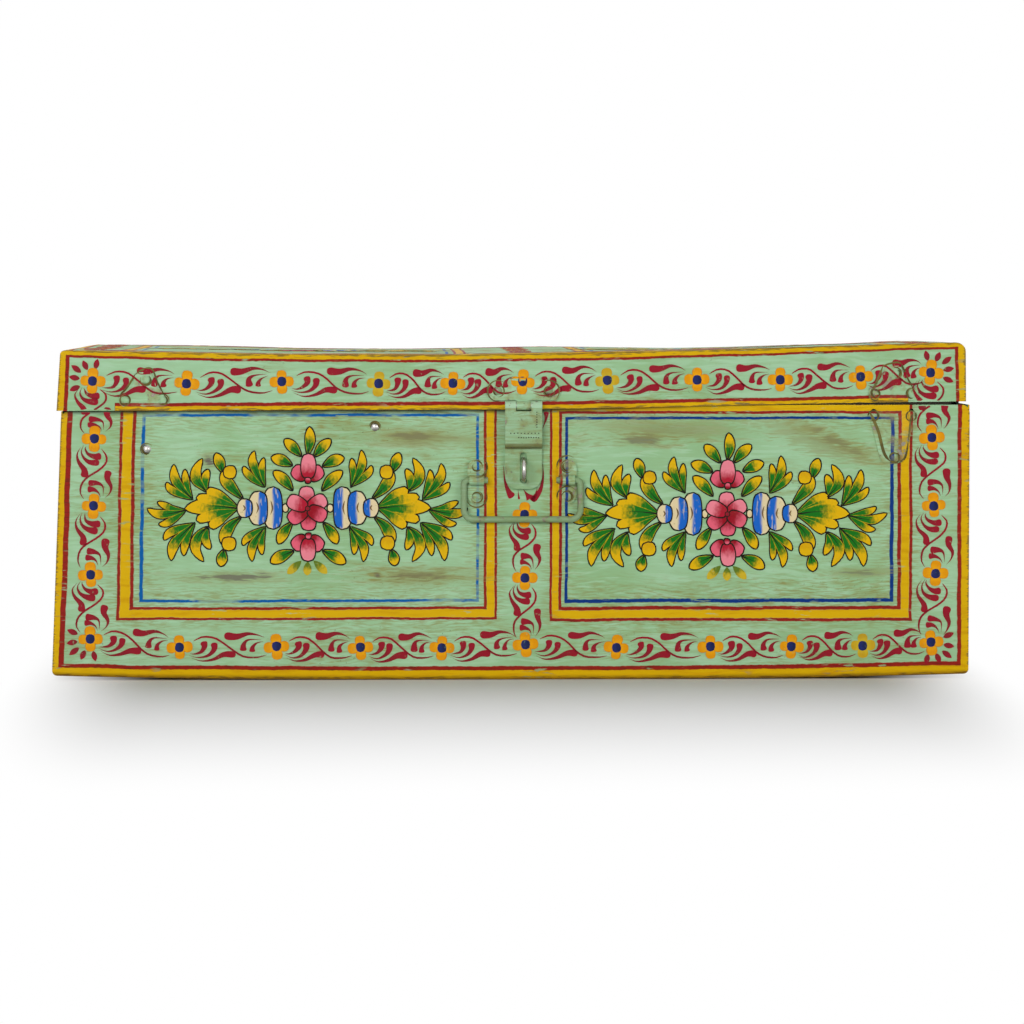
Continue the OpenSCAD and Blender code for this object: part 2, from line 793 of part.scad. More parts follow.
// A clasp plate on the lid: a wide foot under a narrower head
module clasp_plate_lid(x, rise) {
  z = lid_bottom + rise;
  color("darkseagreen")
    difference() {
      along_y(lid_front_y - clasp_t, lid_front_y)
        translate([x, z])
          polygon(rounded([[-clasp_w / 2, 0], [-clasp_w / 2, clasp_foot_h],
                           [-clasp_waist_w / 2, clasp_waist_h],
                           [-clasp_head_left, clasp_h - clasp_head_drop], [clasp_head_right, clasp_h],
                           [clasp_waist_w / 2, clasp_waist_h],
                           [clasp_w / 2, clasp_foot_h], [clasp_w / 2, 0]],
                          [clasp_corner_r, clasp_corner_r, clasp_waist_r, clasp_corner_r,
                           clasp_head_r, clasp_waist_r, clasp_corner_r, clasp_corner_r]));
      for (place = clasp_lid_rivets)
        hole_y(place, lid_front_y);
    }
}

module clasp_rivets_lid() {
  color("darkseagreen")
    for (place = clasp_lid_rivets)
      translate([place[0], lid_front_y - clasp_t, place[1]])
        rivet(clasp_t + sheet);
}

body_wrap();
body_front();
body_back();
front_lip();
end_lip(-1);  // left_lip
end_lip(1);  // right_lip
staple();
handle_ear(-1);  // handle_ear_left
handle_ear(1);  // handle_ear_right
handle_rivets();
handle();
clasp_plate_body();
clasp_rivets_body();
leftover_rivets();
hinge_leaf(-hinge_x, -1);  // hinge_left_body_leaf
hinge_leaf(hinge_x, -1);  // hinge_right_body_leaf
hinge_pin(-hinge_x);  // hinge_left_pin
hinge_pin(hinge_x);  // hinge_right_pin
hinge_rivet_set(-1);  // hinge_body_rivets
lid_wrap();
lid_front();
lid_back();
hinge_leaf(-hinge_x, 1);  // hinge_left_lid_leaf
hinge_leaf(hinge_x, 1);  // hinge_right_lid_leaf
hinge_rivet_set(1);  // hinge_lid_rivets
hasp_plate();
hasp_pin();
hasp_rivets();
hasp_strap();
clasp_plate_lid(clasp_left_x, clasp_left_rise);  // clasp_plate_lid_left
clasp_plate_lid(clasp_right_x, clasp_right_rise);  // clasp_plate_lid_right
clasp_rivets_lid();
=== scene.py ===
# %% [markdown]
# A small tin trunk, painted all over by hand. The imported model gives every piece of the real
# construction: folded sheets, hinges, hasp, handle. It is loaded first as a fixed frame, and all
# that follows only dresses it: worn paint, brushed frames, scrolls, flowers and bouquets.

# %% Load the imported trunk
import itertools
import math
import random

import bpy
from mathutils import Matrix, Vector
from mathutils.bvhtree import BVHTree


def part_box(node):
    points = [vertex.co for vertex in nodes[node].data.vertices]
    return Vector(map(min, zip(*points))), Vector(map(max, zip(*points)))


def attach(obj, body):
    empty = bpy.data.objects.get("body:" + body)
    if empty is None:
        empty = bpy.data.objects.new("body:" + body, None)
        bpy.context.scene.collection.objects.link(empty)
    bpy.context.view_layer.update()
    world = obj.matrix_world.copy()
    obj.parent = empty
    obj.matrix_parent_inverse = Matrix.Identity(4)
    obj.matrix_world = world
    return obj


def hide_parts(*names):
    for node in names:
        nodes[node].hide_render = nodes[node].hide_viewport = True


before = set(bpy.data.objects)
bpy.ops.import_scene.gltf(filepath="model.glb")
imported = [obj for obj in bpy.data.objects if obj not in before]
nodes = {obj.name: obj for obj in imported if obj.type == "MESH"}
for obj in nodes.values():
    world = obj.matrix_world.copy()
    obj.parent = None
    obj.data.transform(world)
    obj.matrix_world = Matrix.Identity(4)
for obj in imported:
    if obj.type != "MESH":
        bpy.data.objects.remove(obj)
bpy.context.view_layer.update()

MM = 0.001

# %% [markdown]
# Everything that is painted is placed from the sheets of the trunk. Their boxes give the planes
# of the front, the back, the ends and the lid, so no face of the trunk is typed in twice. The lid's
# sunken top and the climb of the seam are named here too, because sheets and paint both follow them.

# %% Measure the sheets
front_low, front_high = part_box("body_front")
lid_low, lid_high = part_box("lid_front")
_, back_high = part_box("body_back")
FRONT_Y = front_low.y
LID_Y = lid_low.y
BACK_Y = back_high.y
RIM_Z = front_high.z
LID_Z = lid_low.z
TOP_Z = lid_high.z
BODY_HALF = front_high.x
LID_HALF = lid_high.x
LEFT_LEAN = 4.5 * MM
RIGHT_LEAN = 0.8 * MM
# In millimetres: the lid's height at its ends and how far its middle has sunk, then how far the
# lid's seam has climbed towards the right, between two shares of the half width, and dropped at left
LID_LEFT = 166
LID_RIGHT = 170
LID_SAG = 5
SEAM_CLIMB = 4.1
SEAM_FROM = -0.1
SEAM_TO = 1.1
SEAM_DROP = 0.5
print("front at", round(FRONT_Y, 4), "rim at", round(RIM_Z, 4), "lid from", round(LID_Z, 4))


# %% [markdown]
# Old tin is never flat. Its edges bow, the seam climbs towards the right, and the panels carry
# long shallow waves and a few dents. The sheets and the paint on them must move together, so both
# take their bends from the functions below.

# %% How the old tin has bent
def hump(value, middle, width):
    """A soft bell that is 1 at the middle."""
    return math.exp(-(((value - middle) / width) ** 2))


def ease(value, start, end):
    """Rises smoothly from 0 at start to 1 at end."""
    t = min(1.0, max(0.0, (value - start) / (end - start)))
    return t * t * (3 - 2 * t)


def lid_top(x):
    """Height of the sunken lid top, which follows the CAD lid's corners and middle."""
    left, right, sag = LID_LEFT * MM, LID_RIGHT * MM, LID_SAG * MM
    share = x / LID_HALF
    return left + (right - left) * (share + 1) / 2 - sag * (1 - share * share)


def seam_shift(x, on_lid):
    """How far the seam has moved up at a place along the front."""
    u = x / BODY_HALF
    if on_lid:
        climb = SEAM_CLIMB * MM * ease(u, SEAM_FROM, SEAM_TO)
    else:
        climb = 2.6 * MM * ease(u, SEAM_FROM, 0.7)
    return climb - SEAM_DROP * MM * ease(-u, 0, 1)


def back_twist(x):
    """How far the back of the lid's top lies above its front, from the twist of the lid."""
    u = x / BODY_HALF
    return (0.9 - 3.3 * ease(u, 0, 0.6) + 1.4 * ease(u, 0.8, 1)) * MM


def wave(a, b, phase):
    """Long shallow waves of a thin sheet, in metres."""
    first = math.sin(a * 38 + phase) * math.sin(b * 47 + 1.7 * phase)
    second = math.sin(a * 21 - b * 33 + 2.3 * phase)
    return 0.16 * MM * first + 0.1 * MM * second


# Middle along the front, middle height, half width, half height and depth of each dent
DENTS = [(155.6, 162.8, 6.2, 2.2, 1.1), (171.9, 162.8, 3.0, 1.8, 0.7), (192.4, 165.2, 6.8, 2.4, 1.2),
         (66, 158, 12, 3, 0.5), (-224, 146, 2.2, 7, 0.9)]
# How far from its end a sheet is pulled in or out together with that end
END_REACH = 30 * MM


def front_wave(x, z, on_lid):
    """How far a point of the front has moved back."""
    sides = ease(BODY_HALF - abs(x), 2 * MM, 40 * MM)
    if on_lid:
        dents = sum(depth * MM * hump(x, middle * MM, half_w * MM) * hump(z, height * MM, half_h * MM)
                    for middle, height, half_w, half_h, depth in DENTS)
        return wave(x, z, 0.4) * sides * ease(lid_top(x) - z, 0, 20 * MM) + dents
    return wave(x, z, 2.1) * sides * ease(z, 0, 30 * MM)


def bent(x, y, z, on_lid):
    """Where a point of the flat sheets lies on the bent trunk."""
    u = x / BODY_HALF
    end = ease(abs(x), BODY_HALF - 8 * MM, BODY_HALF - 3 * MM)
    front = ease(-y, -FRONT_Y - 8 * MM, -FRONT_Y - 1 * MM)
    if on_lid:
        t = (z - LID_Z) / (TOP_Z - LID_Z)
        back_share = (y - FRONT_Y) / (BACK_Y - FRONT_Y)
        top = (0.25 + 1.2 * (1 - u * u)) * MM + back_twist(x) * back_share
        dz = seam_shift(x, True) * (1 - t) + top * t
        dx = 2.3 * MM * t * ease(-x, LID_HALF - END_REACH, LID_HALF)
        dx += (1.0 - 0.3 * t) * MM * ease(x, LID_HALF - END_REACH, LID_HALF)
        dy = front_wave(x, z, True) * front
        dx += wave(y, z, 3.0 if x > 0 else 4.1) * end * ease(-FRONT_Y - abs(y), 0, 30 * MM)
        sunk = 1 - end
        dz += wave(x, y, 1.3) * 1.5 * sunk * ease(z, TOP_Z - 12 * MM, TOP_Z - 7 * MM) * (1 - front)
    else:
        t = z / RIM_Z
        foot = 2.3 * MM * abs(u) ** 3
        dz = foot * (1 - t) ** 2 + seam_shift(x, False) * t
        dx = wave(y, z, 5.2 if x > 0 else 0.9) * end * ease(-FRONT_Y - abs(y), 0, 40 * MM)
        dx *= ease(z, 0, 20 * MM)
        dx += 0.8 * MM * t * ease(abs(x), BODY_HALF - END_REACH, BODY_HALF)
        dy = front_wave(x, z, False) * front
    return Vector((x + dx, y + dy, z + dz))


print("seam at the right end has climbed", round(seam_shift(BODY_HALF, True) / MM, 2), "mm")


# %% [markdown]
# The sheets themselves are copied from the construction, cleaned to a few large faces, given the
# soft edges of folded tin, cut into a fine grid by bisecting, and then bent. An attribute keeps
# where each point was before, because the painter's edge bands follow the bent edges.

# %% Make the bent sheets
def only(piece):
    """Leaves this piece alone selected and active."""
    bpy.ops.object.select_all(action="DESELECT")
    piece.select_set(True)
    bpy.context.view_layer.objects.active = piece


def steps(start, end, pitch):
    """Places between two ends, about a pitch apart."""
    count = max(2, round((end - start) / pitch))
    return [start + (end - start) * i / count for i in range(1, count)]


def bent_sheet(node, body, slot, cuts):
    """A copy of a sheet with softened edges, cut into a grid and bent."""
    sheet = bpy.data.objects.new(f"bent_{node}", nodes[node].data.copy())
    bpy.context.scene.collection.objects.link(sheet)
    only(sheet)
    if sheet.data.has_custom_normals:
        bpy.ops.mesh.customdata_custom_splitnormals_clear()
    bpy.ops.object.mode_set(mode="EDIT")
    bpy.ops.mesh.select_all(action="SELECT")
    bpy.ops.mesh.remove_doubles(threshold=1e-6)
    bpy.ops.mesh.dissolve_limited(angle_limit=math.radians(1))
    bpy.ops.object.mode_set(mode="OBJECT")
    edge = sheet.modifiers.new("Folded edge", "BEVEL")
    edge.width = 0.25 * MM
    edge.segments = 2
    edge.limit_method = "ANGLE"
    edge.angle_limit = math.radians(50)
    bpy.ops.object.modifier_apply(modifier=edge.name)
    bpy.ops.object.mode_set(mode="EDIT")
    for axis, places in cuts.items():
        normal = [0, 0, 0]
        normal[axis] = 1
        for place in places:
            bpy.ops.mesh.select_all(action="SELECT")
            at = [0, 0, 0]
            at[axis] = place
            bpy.ops.mesh.bisect(plane_co=at, plane_no=normal)
    bpy.ops.object.mode_set(mode="OBJECT")
    flat = sheet.data.attributes.new("flat_place", "FLOAT_VECTOR", "POINT")
    for vertex, was in zip(sheet.data.vertices, flat.data):
        was.vector = vertex.co
        vertex.co = bent(*vertex.co, body == "lid")
    bpy.ops.object.shade_smooth_by_angle(angle=math.radians(35))
    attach(sheet, body)
    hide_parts(node)
    print(sheet.name, len(sheet.data.polygons), "faces")
    return sheet


wide = steps(-BODY_HALF, BODY_HALF, 8 * MM)
at_dents = [step * MM for step in range(143, 206, 4)]
fine = sorted(steps(-LID_HALF, LID_HALF, 4 * MM) + at_dents)
tall = steps(0, RIM_Z, 8 * MM)
deep = steps(FRONT_Y, BACK_Y, 12 * MM)
near_front = [LID_Y + step * MM for step in (3, 6)]
# The dents need a finer grid from this height, in millimetres
DENTS_FROM = 158
lid_tall = steps(LID_Z, DENTS_FROM * MM, 4 * MM)
lid_tall += [(DENTS_FROM + 1.2 * step) * MM for step in range(9)]
# Body, slot and cuts along x, y and z of each sheet
SHEETS = {
    "body_front": ("trunk", "body_tin", {0: wide, 2: tall}),
    "body_back": ("trunk", "body_tin", {0: wide, 2: tall}),
    "body_wrap": ("trunk", "body_tin", {0: wide, 1: deep, 2: tall}),
    "lid_front": ("lid", "lid_tin", {0: fine, 2: lid_tall}),
    "lid_back": ("lid", "lid_tin", {0: wide, 2: lid_tall}),
    "lid_wrap": ("lid", "lid_tin", {0: fine, 1: near_front + deep, 2: lid_tall}),
}
sheets = {node: bent_sheet(node, *how) for node, how in SHEETS.items()}


# %% [markdown]
# Materials are sums of simple masks, so the shader maths is written as ordinary expressions. A
# small class wraps a socket: adding or multiplying two of them adds a Math node. A second class
# holds a material, and one of its methods makes every node from its type, settings and inputs.

# %% Shader expressions
class Value:
    """A number, colour or vector that changes over the surface."""

    def __init__(self, paint, socket):
        self.paint = paint
        self.socket = socket

    def math(self, operation, *inputs):
        return self.paint.node("ShaderNodeMath", {"operation": operation}, dict(enumerate(inputs)))

    def __add__(self, other):
        return self.math("ADD", self, other)

    __radd__ = __add__

    def __sub__(self, other):
        return self.math("SUBTRACT", self, other)

    def __rsub__(self, other):
        return self.math("SUBTRACT", other, self)

    def __mul__(self, other):
        return self.math("MULTIPLY", self, other)

    __rmul__ = __mul__

    def least(self, other):
        return self.math("MINIMUM", self, other)

    def most(self, other):
        return self.math("MAXIMUM", self, other)


class Paint:
    """One material, or the world's air, with the few calls that its layers need."""

    def __init__(self, holder):
        holder.use_nodes = True
        self.material = holder
        self.tree = holder.node_tree
        self.shader = self.tree.nodes.get("Principled BSDF")

    def node(self, kind, settings, inputs, output=0):
        """Adds a node of a type, sets it up, then fills its sockets."""
        made = self.tree.nodes.new(kind)
        for key, value in settings.items():
            setattr(made, key, value)
        for key, value in inputs.items():
            self.fill(made.inputs[key], value)
        return Value(self, made.outputs[output])

    def fill(self, socket, value):
        if isinstance(value, Value):
            self.tree.links.new(value.socket, socket)
        else:
            socket.default_value = value

    def set(self, **inputs):
        """Fills sockets of the shader, whose names are written with an underscore for a space."""
        for key, value in inputs.items():
            self.fill(self.shader.inputs[key.replace("_", " ")], value)

    def place(self):
        return self.node("ShaderNodeTexCoord", {}, {}, "Object")

    def stored(self, name):
        return self.node("ShaderNodeAttribute", {"attribute_name": name}, {}, "Vector")

    def parts(self, vector):
        """The three numbers of a vector."""
        split = self.node("ShaderNodeSeparateXYZ", {}, {0: vector}).socket.node
        return [Value(self, split.outputs[i]) for i in range(3)]

    def millimetres(self, place):
        """The three numbers of a place, in millimetres."""
        return [part * (1 / MM) for part in self.parts(place)]

    def on_dab(self):
        """How far along and how far across its dab a place lies, each from 0 to 1."""
        return self.parts(self.node("ShaderNodeUVMap", {"uv_map": "UVMap"}, {}))[:2]

    def stretch(self, vector, scale, shift=(0, 0, 0)):
        return self.node("ShaderNodeMapping", {}, {"Vector": vector, "Scale": scale, "Location": shift})

    def noise(self, vector, scale, detail):
        return self.node("ShaderNodeTexNoise", {}, {"Vector": vector, "Scale": scale, "Detail": detail})

    def ramp(self, value, low, high):
        """0 below low, 1 above high, and a smooth step between them."""
        return self.node("ShaderNodeMapRange", {"interpolation_type": "SMOOTHSTEP"},
                         {"Value": value, "From Min": low, "From Max": high})

    def mix(self, under, over, mask):
        """Lays one colour over another where the mask is 1."""
        return self.node("ShaderNodeMix", {"data_type": "RGBA"}, {0: mask, 6: under, 7: over}, 2)

    def bump(self, height, strength, distance):
        return self.node("ShaderNodeBump", {},
                         {"Height": height, "Strength": strength, "Distance": distance})


def new_paint(name, gloss=0.1):
    """A new material with a low gloss, as old household paint has."""
    paint = Paint(bpy.data.materials.new(name))
    paint.shader.inputs["Specular IOR Level"].default_value = gloss
    return paint


def colour(red, green, blue):
    """A colour as a painter's chart gives it, from 0 to 255, made linear."""
    return (*[((c / 255 + 0.055) / 1.055) ** 2.4 if c > 10 else c / 3295 for c in (red, green, blue)], 1)


MINT = colour(161, 203, 160)
MINT_PALE = colour(176, 213, 178)
MINT_DEEP = colour(148, 190, 140)
WASH = colour(142, 138, 74)
DIRT = colour(82, 74, 50)
SHADOW = colour(24, 26, 18)
SCUFF = colour(108, 104, 92)
YELLOW = colour(220, 176, 0)
YELLOW_DEEP = colour(188, 120, 0)
FRAME_RED = colour(150, 32, 22)
BLUE = colour(0, 92, 164)
NAVY = colour(6, 52, 124)
BARE = colour(132, 126, 112)
OLD_RED = colour(112, 34, 22)
FOOT_BROWN = colour(96, 60, 10)
DULL_GREEN = colour(104, 112, 72)
CURL_SHADE_BROWN = colour(104, 96, 44)
RUST = colour(84, 66, 48)
BRIGHT_STEEL = colour(180, 178, 172)
LIP_SHADE_STEEL = colour(52, 50, 42)
CREAM = colour(228, 210, 166)
BUD_BLUE = colour(24, 100, 196)
print("mint in linear light", [round(c, 3) for c in MINT[:3]])


# %% [markdown]
# The tin is painted mint with a wide brush, then rubbed with a brown wash and worn. Over it lie
# bands of yellow, red and blue. A band is a range of the distance from an edge, and a little
# noise in that distance gives it the wobble of a hand and a dry brush.

# %% Mint paint and its bands
def mint_ground(paint, grime):
    """The brushed mint ground. Gives its colour, its broad and fine streaks, and the place."""
    place = paint.place()
    x, y, z = paint.parts(place)
    rise = paint.noise(paint.stretch(place, (22, 22, 60)), 1, 3) * 4
    run = paint.node("ShaderNodeCombineXYZ", {}, {0: x * 60, 1: y * 60, 2: z * 560 + rise})
    fine_run = paint.node("ShaderNodeCombineXYZ", {}, {0: x * 150, 1: y * 150, 2: z * 1300 + rise * 2})
    streak = paint.noise(run, 1, 6)
    fine_streak = paint.noise(fine_run, 1, 4)
    blotch = paint.noise(place, 16, 3)
    broad = paint.noise(paint.stretch(place, (9, 9, 38), (3, 1, 2)), 1, 4)
    ground = paint.mix(MINT, MINT_DEEP, paint.ramp(blotch, 0.38, 0.66))
    ground = paint.mix(ground, MINT_PALE, (1 - paint.ramp(streak, 0.36, 0.5)) * 0.5)
    washed = paint.ramp(broad, 0.47, 0.66) * 0.85 + 0.15
    washed = washed * (paint.ramp(streak, 0.46, 0.66) * 0.5 + paint.ramp(fine_streak, 0.5, 0.64) * 0.5)
    ground = paint.mix(ground, WASH, washed * (0.85 * grime))
    specks = paint.ramp(paint.noise(place, 700, 2), 0.66, 0.74) * paint.ramp(broad, 0.42, 0.7)
    return paint.mix(ground, DIRT, specks * (0.55 * grime)), streak, fine_streak, place


def dry_brush(paint, place, amount):
    """A mask that is 0 where a dry brush or wear has left the ground bare."""
    grain = paint.noise(paint.stretch(place, (120, 120, 620)), 1, 3)
    patch = paint.noise(place, 32, 2)
    worn = paint.ramp(grain, 0.58, 0.68) * paint.ramp(patch, 0.48, 0.62) * amount
    return 1 - worn


BAND_EDGE = 0.2


def up_to(paint, across, limit):
    """1 up to a distance of so many millimetres and 0 beyond it."""
    return 1 - paint.ramp(across, limit - BAND_EDGE, limit + BAND_EDGE)


def lay_bands(paint, ground, place, flat, edges, frames, streaks):
    """Paints edge bands and frames on the ground. An edge is a distance function and the widths of
    its yellow and red; a frame is a distance function and its rings."""
    streak, fine_streak = streaks
    x, y, z = paint.millimetres(place)
    wobble = (paint.noise(place, 45, 2) - 0.5) * 1.3 + (paint.noise(place, 420, 1) - 0.5) * 0.6
    kept = dry_brush(paint, place, 0.75)
    tone = paint.mix(YELLOW, YELLOW_DEEP, paint.ramp(streak, 0.46, 0.74) * 0.4)
    brick = paint.mix(FRAME_RED, OLD_RED, paint.ramp(fine_streak, 0.45, 0.7))
    for distance, _, red in edges:
        across = distance(*flat) + wobble
        ground = paint.mix(ground, brick, up_to(paint, across, red) * kept)
    for distance, yellow, _ in edges:
        across = distance(*flat) + wobble
        ground = paint.mix(ground, tone, up_to(paint, across, yellow) * kept)
        rubbed = 1 - paint.ramp(across + (fine_streak - 0.5) * 5, 0.1, 1.0)
        ground = paint.mix(ground, DIRT, rubbed * 0.7)
    for distance, rings in frames:
        across = distance(x, y, z) + wobble
        near = paint.ramp(across, -8, 0) * (1 - paint.ramp(across, 9, 24))
        ground = paint.mix(ground, WASH, near * paint.ramp(fine_streak, 0.42, 0.6) * 0.5)
        for start, end, tint in rings:
            band = paint.ramp(across, start - BAND_EDGE, start + BAND_EDGE) * up_to(paint, across, end)
            if tint == BLUE:
                skipped = paint.noise(paint.stretch(place, (28, 28, 90)), 1, 4)
                band = band * (1 - paint.ramp(skipped, 0.5, 0.6) * 0.75)
            tint = {YELLOW: tone, FRAME_RED: brick}.get(tint, tint)
            ground = paint.mix(ground, tint, band * kept)
    return ground


def painted_tin(name, edges=(), frames=(), scuffs=(), grime=1.0, under_lid=0.0):
    """Mint tin with bands and grey scuffs. Where the height of its rim is given, a painted shadow also
    darkens the paint under the lid's edge, all but the right end, and the paint turns brown towards the
    foot."""
    paint = new_paint(name)
    ground, streak, fine_streak, place = mint_ground(paint, grime)
    flat = paint.millimetres(paint.stored("flat_place"))
    ground = lay_bands(paint, ground, place, flat, edges, frames, (streak, fine_streak))
    ragged = (streak - 0.5) * 2.6 + (fine_streak - 0.5) * 2.6
    for (sx, sz), (long_by, wide_by), turn, strength in scuffs:
        around = paint.node("ShaderNodeMapping", {"vector_type": "TEXTURE"}, {
            "Vector": place, "Location": (sx * MM, 0, sz * MM), "Rotation": (0, math.radians(turn), 0),
            "Scale": (long_by * MM, 1000, wide_by * MM)})
        near = paint.node("ShaderNodeVectorMath", {"operation": "LENGTH"}, {0: around}, "Value")
        halo = (1 - paint.ramp(near * 0.45 + ragged * 0.8, 0.4, 1.0)) * 0.5
        ground = paint.mix(ground, WASH, halo)
        rub = (1 - paint.ramp(near + ragged, 0.35, 1.1)) * strength
        ground = paint.mix(ground, SCUFF, rub)
    if under_lid:
        # Painted shadow of the lid's edge: a dark band just under the rim that fades out towards the
        # right end
        dark = paint.ramp(flat[2] + (streak - 0.5) * 1.5, under_lid - 2.6, under_lid)
        ground = paint.mix(ground, SHADOW, dark * (1 - paint.ramp(flat[0], 20, 140)) * 0.85)
        # Brown towards the foot, over about its lowest 2.6 mm
        foot = (1 - paint.ramp(flat[2] + ragged * 0.6, 0.4, 2.6)) * 0.7
        ground = paint.mix(ground, FOOT_BROWN, foot)
    paint.set(Base_Color=ground, Roughness=paint.ramp(streak, 0.1, 0.9) * 0.2 + 0.45)
    paint.set(Normal=paint.bump(streak * 0.5 + fine_streak * 0.5, 0.14, 0.4 * MM))
    return paint.material


def box_distance(low, high, lean, scales):
    """Distance inwards from a rectangle of the front, in millimetres. Its left side may lean, and
    each side, from left, right, foot to top, may be painted wider or narrower."""
    def distance(x, y, z):
        left = (x - low[0] - z * lean) * scales[0]
        right = (high[0] - x) * scales[1]
        return left.least(right).least((z - low[1]) * scales[2]).least((high[1] - z) * scales[3])
    return distance


left_rings = [(0, 1.3, FRAME_RED), (1.3, 5.2, YELLOW), (5.2, 6.6, FRAME_RED), (9.0, 10.4, BLUE)]
right_rings = [(0, 1.4, FRAME_RED), (1.4, 5.0, YELLOW), (5.0, 6.6, FRAME_RED), (8.3, 9.9, NAVY)]
left_panel = box_distance((-199.9, 30.2), (-7.3, 143.3), 0.0207, (0.8, 1, 1, 1))
right_panel = box_distance((19.2, 29.2), (202.8, 139.9), 0, (1.07, 0.88, 0.87, 1.15))
half = BODY_HALF / MM
lean_left, lean_right = LEFT_LEAN / RIM_Z, RIGHT_LEAN / RIM_Z
front_edges = [
    (lambda x, y, z: x + half - z * lean_left, 3.2, 6.0),
    (lambda x, y, z: half - x - z * lean_right, 4, 6),
    (lambda x, y, z: z, 4.5, 6.6),
]
# Middle, half length and half height, turn in degrees and strength of each scuff
front_scuffs = [
    ((-48, 123), (11, 2.2), 0, 0.75), ((-142, 52), (18, 1.9), 0, 0.8), ((-48, 52), (15, 2.4), 0, 0.8),
    ((66, 121), (14, 2.4), 0, 0.65), ((164, 120), (15, 2.2), 24, 0.6), ((177, 54), (9, 1.6), 0, 0.5),
    ((-152.4, 110.6), (2.8, 2.4), 0, 1.0), ((-67.5, 52.6), (2.2, 1.7), 0, 1.0),
    ((80, 126), (20, 3.2), 3, 0.12), ((158, 119), (17, 4), 18, 0.12), ((-44, 122), (17, 3), 0, 0.12),
    ((-46, 53), (17, 3), 0, 0.12),
]
both_panels = [(left_panel, left_rings), (right_panel, right_rings)]
front_tin = painted_tin("painted_front", front_edges, both_panels, front_scuffs, under_lid=136)
print("front has", len(front_tin.node_tree.nodes), "shader nodes")

# %% Bands of the other sheets
lid_half = LID_HALF / MM
lid_foot = LID_Z / MM
# How far to the left and right of the middle the lid's lower band and the gap for the hasp reach
BAND_LEFT, BAND_RIGHT = 199, 200
HASP_LEFT, HASP_RIGHT = 3.3, 15.4


def lid_top_distance(x, y, z):
    """Distance down from the sunken top of the lid, in millimetres."""
    share = x * (1 / lid_half)
    middle, rise = (LID_LEFT + LID_RIGHT) / 2, (LID_RIGHT - LID_LEFT) / 2
    return middle + share * rise - LID_SAG * (1 - share * share) - z


def lid_foot_distance(x, y, z):
    """Distance up from the lid's lower edge, between the corners of the front and off the hasp."""
    outside = (-BAND_LEFT - x).most(x - BAND_RIGHT)
    at_hasp = (x + HASP_LEFT).least(HASP_RIGHT - x)
    return (z - lid_foot).most(outside * 8).most(at_hasp * 8)


lid_edges = [
    (lambda x, y, z: x + lid_half, 3.2, 5.2),
    (lambda x, y, z: lid_half - x, 3.5, 5.2),
    (lid_top_distance, 2.2, 3.5),
    (lid_foot_distance, 2, 3.8),
]
lid_tin = painted_tin("painted_lid_front", lid_edges)
top_front = LID_Y / MM
top_back = BACK_Y / MM
top_rings = [(15, 16.3, FRAME_RED), (16.3, 20, YELLOW), (20, 21.3, FRAME_RED), (24, 25.6, BLUE)]


def top_panel(low, high):
    """Distance inwards from a rectangle of the lid's top."""
    def distance(x, y, z):
        return (x - low[0]).least(high[0] - x).least(y - low[1]).least(high[1] - y)
    return distance


top_edges = [
    (lambda x, y, z: (x + lid_half).most(lid_top_distance(x, y, z)), 4, 6),
    (lambda x, y, z: (lid_half - x).most(lid_top_distance(x, y, z)), 4, 6),
    (lambda x, y, z: z - lid_foot, 2, 3.8),
    (lambda x, y, z: y - top_front, 4, 6),
    (lambda x, y, z: top_back - y, 4, 6),
]
top_tin = painted_tin("painted_lid_top", top_edges,
                      [(top_panel((-213, top_front + 16), (-7, top_back - 16)), top_rings),
                       (top_panel((19, top_front + 16), (213, top_back - 16)), top_rings)], grime=1.6)
end_tin = painted_tin("painted_ends", [(lambda x, y, z: z, 4.5, 6.6),
                                       (lambda x, y, z: y - FRONT_Y / MM, 4, 6),
                                       (lambda x, y, z: BACK_Y / MM - y, 4, 6)], grime=1.3)
back_tin = painted_tin("painted_back", front_edges, grime=1.5)
lid_back_tin = painted_tin("painted_lid_back", lid_edges[:3], grime=1.5)
inside_tin = painted_tin("plain_inside", grime=1.2)


def dress(piece, material):
    """Gives a piece one material all over."""
    if not piece.material_slots:
        piece.data.materials.append(material)
    for holder in piece.material_slots:
        holder.material = material


def dress_sheet(sheet, outside_paint):
    """Paints the outer faces of a sheet, and leaves those that look to the trunk's middle plain."""
    dress(sheet, outside_paint)
    sheet.data.materials.append(inside_tin)
    middle = Vector((0, 0, RIM_Z / 2))
    inner = 0
    for face in sheet.data.polygons:
        if face.normal.dot(face.center - middle) < 0:
            face.material_index = 1
            inner += 1
    print(sheet.name, "has", inner, "inner faces")


for name, outside_paint in (("body_front", front_tin), ("body_back", back_tin), ("body_wrap", end_tin),
                            ("lid_front", lid_tin), ("lid_back", lid_back_tin), ("lid_wrap", top_tin)):
    dress_sheet(sheets[name], outside_paint)
